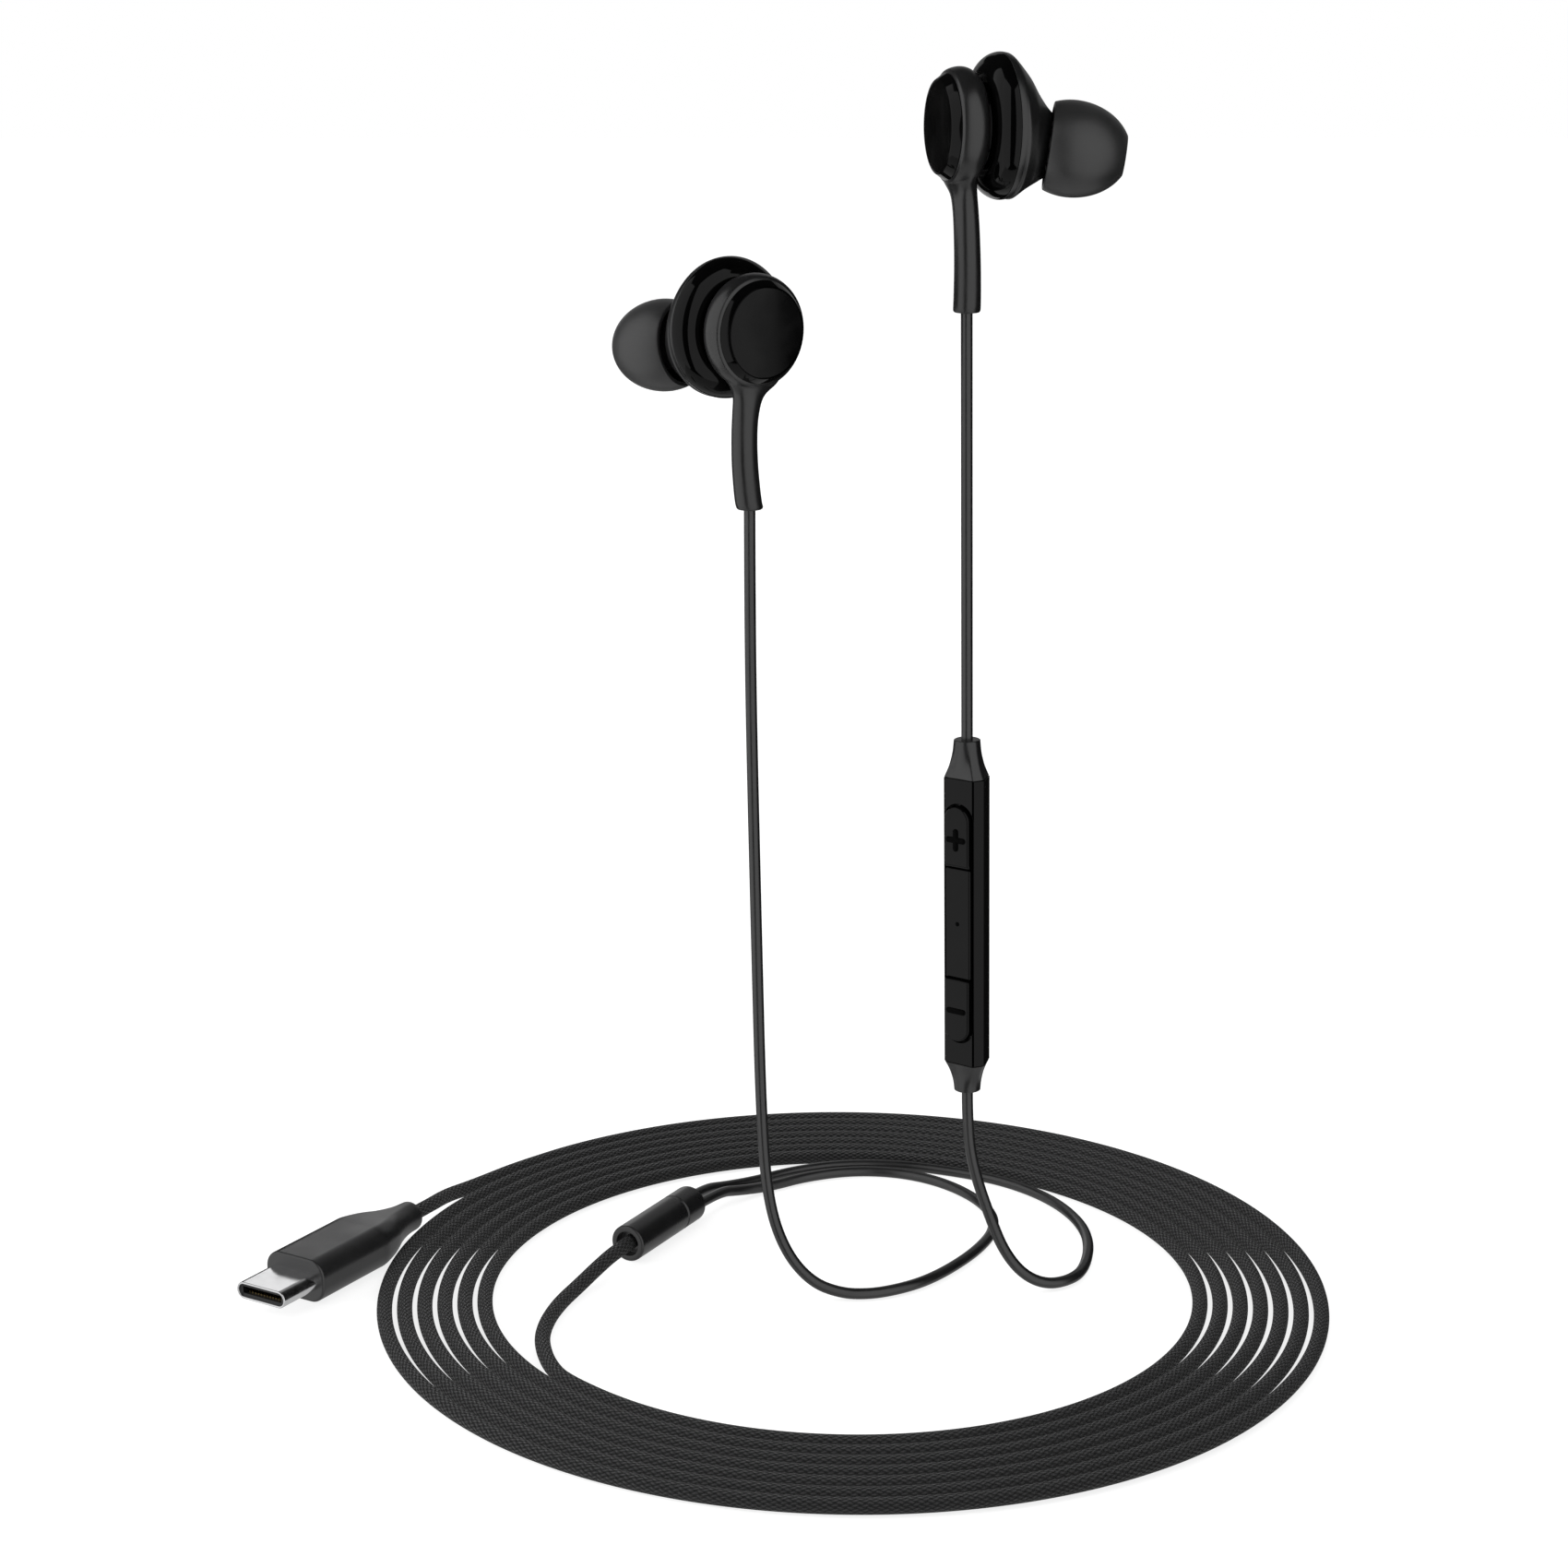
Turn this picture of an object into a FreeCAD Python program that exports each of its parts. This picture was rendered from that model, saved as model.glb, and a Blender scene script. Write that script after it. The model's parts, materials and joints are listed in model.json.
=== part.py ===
import FreeCAD, Part
import math
import os

V = FreeCAD.Vector

# Wired in-ear earphones: two earbuds, a three-button remote, a splitter with a cord slider,
# a braided main cord wound flat on the surface, and a USB-C plug.
# Sizes are in millimetres and angles in degrees.
# The origin is the mouth of the right ear tip. +X runs to the right, +Y to the back and +Z up.

# Face plate and bezel of an earbud, along the bud's own axis from the face towards the ear
FACE_R = 5.75
FACE_THICKNESS = 0.8
FACE_EDGE = 0.12
FACE_FIT = 0.03
BEVEL_R = 6.5
BEVEL_DEPTH = 1.05
BEZEL_LEDGE = 0.7
BEZEL_LIP_R = 6.2
BEZEL_LIP_DEPTH = 0.8

# Ring of the rear housing and the neck behind it
RING_R = 7.25
RING_TO_PEAK = 1.75
PEAK_TO_REAR = 2.06
RING_REAR_R = 5.95
RING_WALL = 0.85
RING_SEAM = 0.05
RING_RELIEF = 0.3
NECK_R = 5.24
NECK_WALL = 0.85
NECK_GAP = 0.47
NECK_FIT = 0.03

# Glossy middle shell
SHELL_REAR_R = 5.98
SHELL_R = 8.97
SHELL_RISE = 2.55
SHELL_FALL = 0.91
SHELL_JOIN_STEP = 0.14
SHELL_WALL = 0.9

# Skewed front cone and its nozzle
CONE_LENGTH = 4.23
CONE_FORWARD = 3.31
CONE_DROP = 2.25
CONE_NECK_R = 4.07
NOZZLE_DOWN = 7.43
NOZZLE_FORWARD = 17.48
NOZZLE_R = 2.05
NOZZLE_LENGTH = 6.2
NOZZLE_BORE_R = 1.5
NOZZLE_ROOT = 0.6
RIDGE_R = 2.25
RIDGE_FROM_END = 0.7
RIDGE_WIDTH = 0.35
RIDGE_SLOPE = 0.3
MESH_R = 1.78
MESH_THICKNESS = 0.15

# Silicone ear tip
TIP_FIT = 0.06
TIP_GAP = 0.215
TIP_RIM_R = 5.37
TIP_R = 5.9
TIP_PEAK = 2.82
TIP_LENGTH = 9.48
TIP_LIP = 0.15
TIP_FOLD = 0.35
TIP_CORE_WALL = 0.75
TIP_CORE_START = 0.1
TIP_SKIRT = 0.55
TIP_CROWN = 1.2

# Driver in the middle shell
DRIVER_R = 6.6
DRIVER_DEPTH = 2.67
DRIVER_WALL = 0.4
DRIVER_EDGE = 0.2
DRIVER_VENT_R = 2.0
MAGNET_R = 4.5
MAGNET_DEPTH = 1.57
COIL_GAP = 0.2
COIL_WIRE = 0.25
COIL_DEPTH = 1.5
DIAPHRAGM = 0.1
DIAPHRAGM_DOME = 0.7

# Stem: depth below the bud's axis, centre along the axis and to the back, half width along each
STEM_SECTIONS = [
    (3.74, 2.90, 0.00, 2.15, 5.60),
    (5.24, 2.90, -0.09, 2.06, 4.68),
    (6.73, 3.09, 0.15, 1.87, 3.52),
    (8.23, 3.37, -0.38, 1.64, 2.20),
    (10.29, 3.55, -0.69, 1.61, 1.79),
    (13.09, 3.71, -0.79, 1.64, 1.68),
    (16.83, 3.93, -0.56, 1.68, 1.70),
    (20.57, 4.13, -0.05, 1.73, 1.73),
    (22.81, 4.25, 0.42, 1.75, 1.75),
]
STEM_TRIM_R = 6.3
STEM_EDGE = 0.35

# Where the earbuds hang, and which way they face
RIGHT_TURN = 15.0
LEFT_TURN = -52.0
LEFT_ACROSS = 20.93
LEFT_BELOW = 25.19

# Surface under the loose part of the cords
SURFACE_Z = -151.21

# Cords, and the straight run with which each leaves a piece
THIN_D = 1.5
BRAID_D = 2.04
STEM_RUN = 12.0
REMOTE_RUN = 6.0
SPLITTER_RUN = 3.0
PLUG_RUN = 4.1
COIL_RUN = 3.6

# Remote, from its top end downwards, and its section from the front face backwards
REMOTE_BELOW_STEM = 54.83
REMOTE_LEAN = V(0.0154, -0.0027, -0.9999)
REMOTE_TURN = -38.0
TOP_CAP = 5.05
REMOTE_BODY = 38.8
BOTTOM_CAP = 4.12
CAP_END_R = 1.73
CAP_STEP = 0.08
CAP_BULGE = 0.02
REMOTE_FRONT_HALF = 2.29
REMOTE_HALF = 3.13
REMOTE_BACK_HALF = 1.945
REMOTE_CHAMFER_DEPTH = 1.45
REMOTE_DEPTH = 4.39
REMOTE_CORD_DEPTH = 2.0
REMOTE_WALL = 0.7
REMOTE_EDGE = 0.22

# Buttons in the slot of the remote
SLOT_FROM_TOP = 3.44
SLOT_LENGTH = 32.17
SLOT_HALF = 2.055
SLOT_SKIN = 0.45
BUTTON_FIT = 0.1
FLANGE_SIDE = 0.2
FLANGE_THICKNESS = 0.35
FLANGE_RELIEF = 0.02
UP_LENGTH = 8.42
DOWN_LENGTH = 8.67
VOLUME_PROUD = 0.65
PLAY_PROUD = 0.28
BUTTON_EDGE = 0.15
BUTTON_TRAVEL = 0.3
PLUNGER_R = 0.6
PLUNGER_LENGTH = 0.5

# Circuit board, switches and microphone in the remote
SWITCH_SIDE = 2.8
SWITCH_BASE = 0.4
DOME_R = 0.95
DOME_HEIGHT = 0.2
BOARD_THICKNESS = 0.6
BOARD_FIT = 0.08
BOARD_END_GAP = 1.5
BOARD_RIB = 1.0
CAVITY_FRONT_HALF = 2.35
CAVITY_BACK_HALF = 1.5
MIC_LENGTH = 2.8
MIC_WIDTH = 1.9
MIC_PORT_R = 0.35
MIC_FROM_TOP = 21.0

# Splitter and the slider that docks on it, lying on the surface
SPLITTER_AT = (-63.58, 11.8)
SPLITTER_TURN = 61.0
SPLITTER_R = 2.595
SPLITTER_LENGTH = 12.5
SPLITTER_EDGE = 0.35
RECESS_R = 1.75
RECESS_DEPTH = 1.5
CORE_R = 1.6
CORE_END_WALL = 1.2
SLIDER_LENGTH = 5.0
SLIDER_GROOVE = 0.22
SLIDER_EDGE = 0.8
SLIDER_TRAVEL = 4.0
SLIDER_CLEAR = 1.0
SLIDER_FIT = 0.1
THIN_SPACING = 2.5

# Plug, from its mouth backwards, lying on the surface
PLUG_AT = (-111.37, -6.59)
PLUG_TURN = 58.7
PLUG_SHELL_HALF = 4.125
PLUG_SHELL_HEIGHT = 2.4
PLUG_SHELL_WALL = 0.3
PLUG_SHELL_OUT = 7.0
PLUG_SHELL_IN = 5.0
GRIP_HALF = 4.95
GRIP_HALF_HEIGHT = 3.05
GRIP_CORNER = 2.4
GRIP_STRAIGHT = 13.0
GRIP_TAPER = 12.6
GRIP_EDGE = 0.35
GRIP_END_R = 2.1
GRIP_END_EDGE = 0.6
INSULATOR_SETBACK = 0.35
INSULATOR_DEPTH = 6.4
TONGUE_SLOT_HALF = 3.3
TONGUE_SLOT_HEIGHT = 1.0
TONGUE_SLOT_DEPTH = 5.4
CONTACT_COUNT = 12
CONTACT_PITCH = 0.5
CONTACT_WIDTH = 0.24
CONTACT_HEIGHT = 0.12
CONTACT_LENGTH = 4.6
CONTACT_SETBACK = 0.7
PLUG_BOARD_HALF = 3.4
PLUG_BOARD_THICKNESS = 0.8
PLUG_BOARD_LENGTH = 8.0
PLUG_BOARD_POCKET = 0.05
CRIMP_R = 1.45
CRIMP_WALL = 0.3
CRIMP_LENGTH = 3.0

# Flat coil of the braided cord
COIL_AT = (-33.33, 0.99)
COIL_START_R = 46.28
COIL_PITCH = 2.665
COIL_START_TURN = -134.0
COIL_HALF_TURNS = 13
COIL_LAST_TURN = 87.0
COIL_END_RUN = BRAID_D

# Flat sides round each cord
THIN_SIDES = 8
BRAID_SIDES = 8

# Routes of the cords between the pieces on them. Each end of a route is worked out from the piece there.
LEFT_ROUTE = [
    V(-46.10, 2.70, -72.0),
    V(-45.50, 1.35, -100.0),
    V(-44.90, 0.10, -126.0),
    V(-43.95, -0.45, -137.6),
    V(-41.70, -0.80, -144.4),
    V(-38.20, -1.00, -148.7),
    V(-34.20, -1.05, -150.30),
    V(-30.40, -0.95, -150.46),
    V(-26.70, 0.50, -150.46),
    V(-22.90, 3.10, -150.46),
    V(-19.00, 7.60, -150.46),
    V(-14.90, 14.00, -150.46),
    V(-12.20, 20.60, -150.46),
    V(-11.90, 27.00, -150.46),
    V(-14.20, 33.40, -150.46),
    V(-18.60, 39.20, -150.46),
    V(-24.40, 42.90, -150.46),
    V(-31.40, 43.80, -150.46),
    V(-38.40, 41.50, -150.46),
    V(-44.20, 37.40, -150.46),
    V(-48.30, 34.60, -149.90),
]
RIGHT_ROUTE = [
    V(-16.30, 1.42, -134.0),
    V(-14.05, 1.41, -140.6),
    V(-12.20, 1.40, -145.2),
    V(-9.60, 1.40, -148.6),
    V(-6.40, 1.75, -150.25),
    V(-3.00, 3.60, -150.46),
    V(-0.60, 7.40, -150.46),
    V(1.00, 16.50, -150.46),
    V(0.20, 24.60, -150.46),
    V(-3.20, 32.80, -150.46),
    V(-9.30, 39.60, -150.46),
    V(-16.90, 43.60, -150.46),
    V(-25.00, 46.15, -150.46),
    V(-33.20, 46.30, -150.46),
    V(-40.40, 43.70, -150.46),
    V(-46.20, 39.70, -150.46),
    V(-50.40, 36.30, -149.90),
]
LEAD_ROUTE = [
    V(-67.30, 5.30, -149.30),
    V(-69.60, 0.90, -150.05),
    V(-71.70, -4.20, -150.19),
    V(-73.00, -9.60, -150.19),
    V(-73.45, -14.90, -150.19),
    V(-72.85, -19.60, -150.19),
    V(-71.60, -24.20, -150.19),
]
TAIL_ROUTE = [
    V(-84.90, 39.90, -150.19),
    V(-88.10, 35.40, -149.90),
    V(-90.70, 30.60, -149.10),
]


# How far a shape that only cuts reaches past the faces it cuts
PAST = 1.0

# Stations along the earbud's axis, and radii there, worked out from the sizes above
BEVEL_U = BEVEL_DEPTH
RING_FRONT_U = BEVEL_U + RING_SEAM
RING_PEAK_U = BEVEL_U + RING_TO_PEAK
RING_REAR_U = RING_PEAK_U + PEAK_TO_REAR
SHELL_REAR_U = RING_REAR_U + NECK_GAP
SHELL_PEAK_U = SHELL_REAR_U + SHELL_RISE
JOIN_U = SHELL_PEAK_U + SHELL_FALL
SHELL_JOIN_R = SHELL_R - SHELL_JOIN_STEP
TIP_BORE_R = RIDGE_R + TIP_FIT


def line(a, b):
    return Part.LineSegment(a, b).toShape()


def arc(a, b, c):
    return Part.Arc(a, b, c).toShape()


def outline(start, steps):
    """Closed face in the XZ plane. A step is one end point, or a middle and an end point of an arc."""
    here = V(start[0], 0, start[1])
    first = here
    edges = []
    for step in steps:
        end = V(step[-1][0], 0, step[-1][1])
        if len(step) == 2:
            edges.append(arc(here, V(step[0][0], 0, step[0][1]), end))
        else:
            edges.append(line(here, end))
        here = end
    if here.distanceToPoint(first) > 1e-6:
        edges.append(line(here, first))
    return Part.Face(Part.Wire(edges))


def turned(start, steps):
    """Solid of revolution about Z from an outline of (radius, height) points."""
    return outline(start, steps).revolve(V(0, 0, 0), V(0, 0, 1), 360)


def rod(radius, low, high):
    """Upright cylinder about Z between two heights."""
    return Part.makeCylinder(radius, high - low, V(0, 0, low))


def block(x, y, z):
    """Box from three (low, high) pairs."""
    return Part.makeBox(x[1] - x[0], y[1] - y[0], z[1] - z[0], V(x[0], y[0], z[0]))


def placement(origin, along, side):
    """Placement whose Z runs along the first direction and whose X is the second."""
    z = V(along).normalize()
    x = V(side)
    x = (x - z * x.dot(z)).normalize()
    y = z.cross(x)
    matrix = FreeCAD.Matrix(
        x.x, y.x, z.x, origin.x,
        x.y, y.y, z.y, origin.y,
        x.z, y.z, z.z, origin.z,
        0, 0, 0, 1)
    return FreeCAD.Placement(matrix)


def put(shape, place):
    moved = shape.copy()
    moved.Placement = place.multiply(moved.Placement)
    return moved


def save(name, shape):
    if shape.isNull() or not shape.isValid():
        print("not valid:", name)
    shape.exportStep("parts/" + name + ".step")
    print(name, "solids", len(shape.Solids), "volume", round(shape.Volume, 2))


# Earbud pieces. They are made in the bud's own frame: +X from the face to the ear, +Y back, +Z up.

ALONG_BUD = placement(V(0, 0, 0), V(1, 0, 0), V(0, 0, -1))


def face_plate():
    r = FACE_R - FACE_FIT
    shape = turned((0, 0), [
        [(r - FACE_EDGE, 0)],
        [(r, FACE_EDGE)],
        [(r, FACE_THICKNESS)],
        [(0, FACE_THICKNESS)]])
    return put(shape, ALONG_BUD)


def bezel_ring():
    lip_end = BEVEL_U + BEZEL_LIP_DEPTH
    ledge_end = (FACE_THICKNESS + lip_end) / 2
    ledge_r = FACE_R - BEZEL_LEDGE
    lip_inner = BEZEL_LIP_R - BEZEL_LEDGE
    shape = turned((FACE_R, 0), [
        [(BEVEL_R, BEVEL_U)],
        [(BEZEL_LIP_R, BEVEL_U)],
        [(BEZEL_LIP_R, lip_end)],
        [(lip_inner, lip_end)],
        [(lip_inner, ledge_end)],
        [(ledge_r, ledge_end)],
        [(ledge_r, FACE_THICKNESS)],
        [(FACE_R, FACE_THICKNESS)]])
    return put(shape, ALONG_BUD)


def ring():
    mouth_r = BEZEL_LIP_R + NECK_FIT
    mouth_end = BEVEL_U + BEZEL_LIP_DEPTH + RING_SEAM
    rear_wall = RING_REAR_U - RING_WALL
    hole_r = NECK_R + NECK_FIT
    hollow_r = mouth_r - RING_RELIEF
    shape = turned((mouth_r, RING_FRONT_U), [
        [(BEVEL_R, RING_FRONT_U)],
        [(RING_R, RING_PEAK_U), (RING_REAR_R, RING_REAR_U)],
        [(hole_r, RING_REAR_U)],
        [(hole_r, rear_wall)],
        [(hollow_r, rear_wall)],
        [(hollow_r, mouth_end)],
        [(mouth_r, mouth_end)]])
    return put(shape, ALONG_BUD)


def ellipse_wire(centre, half_x, half_y):
    """Flat ellipse whose longer half lies along Y."""
    longer = max(half_y, half_x + 0.002)
    curve = Part.Ellipse(centre + V(0, longer, 0), centre + V(half_x, 0, 0), centre)
    return Part.Wire([curve.toShape()])


def stem():
    wires = [ellipse_wire(V(s[1], s[2], -s[0]), s[3], s[4]) for s in STEM_SECTIONS]
    shape = Part.makeLoft(wires, True, False)
    bottom = -STEM_SECTIONS[-1][0]
    edges = [e for e in shape.Edges if abs(e.BoundBox.ZMax - bottom) < 0.01]
    shape = shape.makeFillet(STEM_EDGE, edges)
    inside = put(rod(STEM_TRIM_R, -PAST, SHELL_REAR_U + PAST), ALONG_BUD)
    front = block((-RING_R, RING_FRONT_U), (-RING_R, RING_R), (2 * bottom, RING_R))
    return shape.cut(inside).cut(front)


def rear_housing():
    return ring().fuse(stem()).removeSplitter()


def middle_shell():
    half = math.sqrt(0.5)
    span = SHELL_R - SHELL_REAR_R
    inner_span = span - SHELL_WALL
    inner_rise = SHELL_RISE - SHELL_WALL
    rear_inner = SHELL_REAR_U + SHELL_WALL
    spigot_end = RING_REAR_U - RING_WALL
    spigot_r = NECK_R - NECK_WALL
    fall_mid = (SHELL_PEAK_U + JOIN_U) / 2
    fall_r = SHELL_R - (SHELL_R - SHELL_JOIN_R) / 4
    shape = turned((SHELL_REAR_R, SHELL_REAR_U), [
        [(SHELL_REAR_R + span * half, SHELL_PEAK_U - SHELL_RISE * half), (SHELL_R, SHELL_PEAK_U)],
        [(fall_r, fall_mid), (SHELL_JOIN_R, JOIN_U)],
        [(SHELL_JOIN_R - SHELL_WALL, JOIN_U)],
        [(SHELL_REAR_R + inner_span, SHELL_PEAK_U)],
        [(SHELL_REAR_R + inner_span * half, SHELL_PEAK_U - inner_rise * half), (SHELL_REAR_R, rear_inner)],
        [(spigot_r, rear_inner)],
        [(spigot_r, spigot_end)],
        [(NECK_R, spigot_end)],
        [(NECK_R, SHELL_REAR_U)]])
    return put(shape, ALONG_BUD)


def nozzle_axis():
    down = math.radians(NOZZLE_DOWN)
    forward = math.radians(NOZZLE_FORWARD)
    return V(math.cos(down) * math.cos(forward), -math.cos(down) * math.sin(forward), -math.sin(down))


def cone_neck():
    return V(JOIN_U + CONE_LENGTH, -CONE_FORWARD, -CONE_DROP)


def nozzle_place():
    """Z runs out along the nozzle from the middle of the cone's neck."""
    return placement(cone_neck(), nozzle_axis(), V(0, 0, -1))


def tip_place():
    """Z runs out along the ear tip from the middle of its rear rim."""
    return placement(cone_neck() + nozzle_axis() * TIP_GAP, nozzle_axis(), V(0, 0, -1))


# Shares of the cone's length, forward skew, drop, radius and tilt at each of its sections
CONE_SHAPE = [
    (0.0, 0.0, 0.0, 1.0, 0.0),
    (0.12, 0.02, 0.12, 0.95, 0.05),
    (0.463, 0.19, 0.375, 0.61, 0.30),
    (0.686, 0.51, 0.71, 0.315, 0.60),
    (0.863, 0.75, 0.914, 0.116, 0.85),
    (1.0, 1.0, 1.0, 0.0, 1.0),
]


def cone_circle(share, inset):
    length, skew, drop, width, tilt = share
    centre = V(JOIN_U + CONE_LENGTH * length, -CONE_FORWARD * skew, -CONE_DROP * drop)
    radius = CONE_NECK_R + (SHELL_JOIN_R - CONE_NECK_R) * width - inset
    normal = V(1, 0, 0) * (1 - tilt) + nozzle_axis() * tilt
    place = placement(centre, normal, V(0, 0, -1))
    circle = Part.Circle(V(0, 0, 0), V(0, 0, 1), radius).toShape()
    return Part.Wire([put(circle, place)])


def nozzle():
    ridge_top = NOZZLE_LENGTH - RIDGE_FROM_END
    ridge_low = ridge_top - RIDGE_WIDTH
    shape = turned((0, -NOZZLE_ROOT), [
        [(NOZZLE_R, -NOZZLE_ROOT)],
        [(NOZZLE_R, ridge_low - RIDGE_SLOPE)],
        [(RIDGE_R, ridge_low)],
        [(RIDGE_R, ridge_top)],
        [(NOZZLE_R, ridge_top + RIDGE_SLOPE)],
        [(NOZZLE_R, NOZZLE_LENGTH)],
        [(0, NOZZLE_LENGTH)]])
    return put(shape, nozzle_place())


def front_shell():
    outer = Part.makeLoft([cone_circle(s, 0) for s in CONE_SHAPE], True, False)
    inner = Part.makeLoft([cone_circle(s, SHELL_WALL) for s in CONE_SHAPE[:-1]], True, True)
    bore = rod(NOZZLE_BORE_R, -SHELL_WALL - PAST, NOZZLE_LENGTH + PAST)
    seat = rod(MESH_R + FACE_FIT, NOZZLE_LENGTH - MESH_THICKNESS, NOZZLE_LENGTH + PAST)
    shape = outer.fuse(nozzle())
    shape = shape.cut(inner)
    return shape.cut(put(bore.fuse(seat), nozzle_place()))


def nozzle_mesh():
    return put(rod(MESH_R, NOZZLE_LENGTH - MESH_THICKNESS, NOZZLE_LENGTH), nozzle_place())


def dome_edge(side_r, base, mouth_r, mouth):
    """Upright ellipse about Z in the XZ plane, from its side at the base up to the mouth that cuts it."""
    turn = math.acos(mouth_r / side_r)
    points = [V(math.cos(turn * share), 0, math.sin(turn * share)) * side_r for share in (0, 0.5, 1)]
    stretch = FreeCAD.Matrix()
    stretch.scale(V(1, 1, (mouth - base) / points[2].z))
    stretch.move(V(0, 0, base))
    return arc(*points).transformGeometry(stretch)


def ear_tip():
    """Mushroom tip: a soft dome that folds back as a skirt round the core on the nozzle."""
    core_r = TIP_BORE_R + TIP_CORE_WALL
    lip_r = TIP_BORE_R + TIP_LIP
    crown = TIP_LENGTH - TIP_CROWN
    fold_r = core_r + TIP_FOLD
    skirt_r = TIP_R - TIP_SKIRT
    rim_in = TIP_RIM_R - TIP_SKIRT
    lip_half = TIP_LIP * math.sqrt(0.5)
    fold_half = TIP_FOLD * math.sqrt(0.5)
    lip_base = TIP_LENGTH - TIP_LIP
    fold_base = crown - TIP_FOLD
    mid_out = V(TIP_R - (TIP_R - TIP_RIM_R) / 4, 0, TIP_PEAK / 2)
    mid_in = V(skirt_r - (skirt_r - rim_in) / 4, 0, TIP_PEAK / 2)
    edges = [
        dome_edge(TIP_R, TIP_PEAK, lip_r, TIP_LENGTH),
        arc(V(TIP_R, 0, TIP_PEAK), mid_out, V(TIP_RIM_R, 0, 0)),
        line(V(TIP_RIM_R, 0, 0), V(rim_in, 0, 0)),
        arc(V(rim_in, 0, 0), mid_in, V(skirt_r, 0, TIP_PEAK)),
        dome_edge(skirt_r, TIP_PEAK, fold_r, crown),
        arc(V(fold_r, 0, crown), V(fold_r - fold_half, 0, fold_base + fold_half), V(core_r, 0, fold_base)),
        line(V(core_r, 0, fold_base), V(core_r, 0, TIP_CORE_START)),
        line(V(core_r, 0, TIP_CORE_START), V(TIP_BORE_R, 0, TIP_CORE_START)),
        line(V(TIP_BORE_R, 0, TIP_CORE_START), V(TIP_BORE_R, 0, lip_base)),
        arc(V(TIP_BORE_R, 0, lip_base), V(lip_r - lip_half, 0, lip_base + lip_half), V(lip_r, 0, TIP_LENGTH))]
    profile = Part.Face(Part.Wire(Part.__sortEdges__(edges)))
    return put(profile.revolve(V(0, 0, 0), V(0, 0, 1), 360), tip_place())


# Driver pieces, stacked from the inner rear wall of the middle shell

DRIVER_BACK_U = SHELL_REAR_U + SHELL_WALL
MAGNET_BACK_U = DRIVER_BACK_U + DRIVER_WALL
DIAPHRAGM_U = DRIVER_BACK_U + DRIVER_DEPTH


def driver_frame():
    shape = turned((DRIVER_VENT_R, DRIVER_BACK_U), [
        [(SHELL_REAR_R - DRIVER_EDGE, DRIVER_BACK_U)],
        [(DRIVER_R, DRIVER_BACK_U + DRIVER_EDGE)],
        [(DRIVER_R, DIAPHRAGM_U)],
        [(DRIVER_R - DRIVER_WALL, DIAPHRAGM_U)],
        [(DRIVER_R - DRIVER_WALL, MAGNET_BACK_U)],
        [(DRIVER_VENT_R, MAGNET_BACK_U)]])
    return put(shape, ALONG_BUD)


def driver_magnet():
    return put(rod(MAGNET_R, MAGNET_BACK_U, MAGNET_BACK_U + MAGNET_DEPTH), ALONG_BUD)


def voice_coil():
    inner = MAGNET_R + COIL_GAP
    low = DIAPHRAGM_U - COIL_DEPTH
    shape = rod(inner + COIL_WIRE, low, DIAPHRAGM_U).cut(rod(inner, low - PAST, DIAPHRAGM_U + PAST))
    return put(shape, ALONG_BUD)


def diaphragm():
    dome_r = MAGNET_R + COIL_GAP
    top = DIAPHRAGM_U + DIAPHRAGM
    crown = DIAPHRAGM_DOME * 0.75
    shape = turned((0, DIAPHRAGM_U + DIAPHRAGM_DOME), [
        [(dome_r / 2, DIAPHRAGM_U + crown)],
        [(dome_r, DIAPHRAGM_U)],
        [(DRIVER_R, DIAPHRAGM_U)],
        [(DRIVER_R, top)],
        [(dome_r, top)],
        [(dome_r / 2, top + crown)],
        [(0, top + DIAPHRAGM_DOME)]])
    return put(shape, ALONG_BUD)


EARBUD = {
    "face_plate": face_plate,
    "bezel_ring": bezel_ring,
    "rear_housing": rear_housing,
    "middle_shell": middle_shell,
    "front_shell": front_shell,
    "nozzle_mesh": nozzle_mesh,
    "ear_tip": ear_tip,
    "driver_frame": driver_frame,
    "driver_magnet": driver_magnet,
    "voice_coil": voice_coil,
    "diaphragm": diaphragm,
}


def bud_places():
    """Places of the two buds. The right one puts the mouth of its ear tip at the origin."""
    right_turn = FreeCAD.Rotation(V(0, 0, 1), RIGHT_TURN)
    left_turn = FreeCAD.Rotation(V(0, 0, 1), LEFT_TURN)
    mouth = cone_neck() + nozzle_axis() * (TIP_GAP + TIP_LENGTH)
    right_at = right_turn.multVec(mouth) * -1
    right = FreeCAD.Placement(right_at, right_turn)
    left = FreeCAD.Placement(right_at - V(LEFT_ACROSS, 0, LEFT_BELOW), left_turn)
    return right, left


def stem_end():
    depth, along, back = STEM_SECTIONS[-1][:3]
    return V(along, back, -depth)


def make_earbuds():
    right, left = bud_places()
    for name, build in EARBUD.items():
        shape = build()
        save("right_" + name, put(shape, right))
        save("left_" + name, put(shape.mirror(V(0, 0, 0), V(1, 0, 0)), left))


# Remote pieces. They are made with the front face at Y = 0, the top end at Z = 0 and +Z up.

BODY_TOP = -TOP_CAP
BODY_BOTTOM = BODY_TOP - REMOTE_BODY
REMOTE_LENGTH = TOP_CAP + REMOTE_BODY + BOTTOM_CAP
SLOT_TOP = BODY_TOP - SLOT_FROM_TOP
SLOT_BOTTOM = SLOT_TOP - SLOT_LENGTH
UP_SPLIT = SLOT_TOP - UP_LENGTH
DOWN_SPLIT = SLOT_BOTTOM + DOWN_LENGTH
FLANGE_Y = SLOT_SKIN + FLANGE_RELIEF
PLUNGER_Y = FLANGE_Y + FLANGE_THICKNESS + PLUNGER_LENGTH
DOME_Y = PLUNGER_Y + BUTTON_TRAVEL + FLANGE_RELIEF
SWITCH_Y = DOME_Y + DOME_HEIGHT
BOARD_Y = SWITCH_Y + SWITCH_BASE
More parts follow.
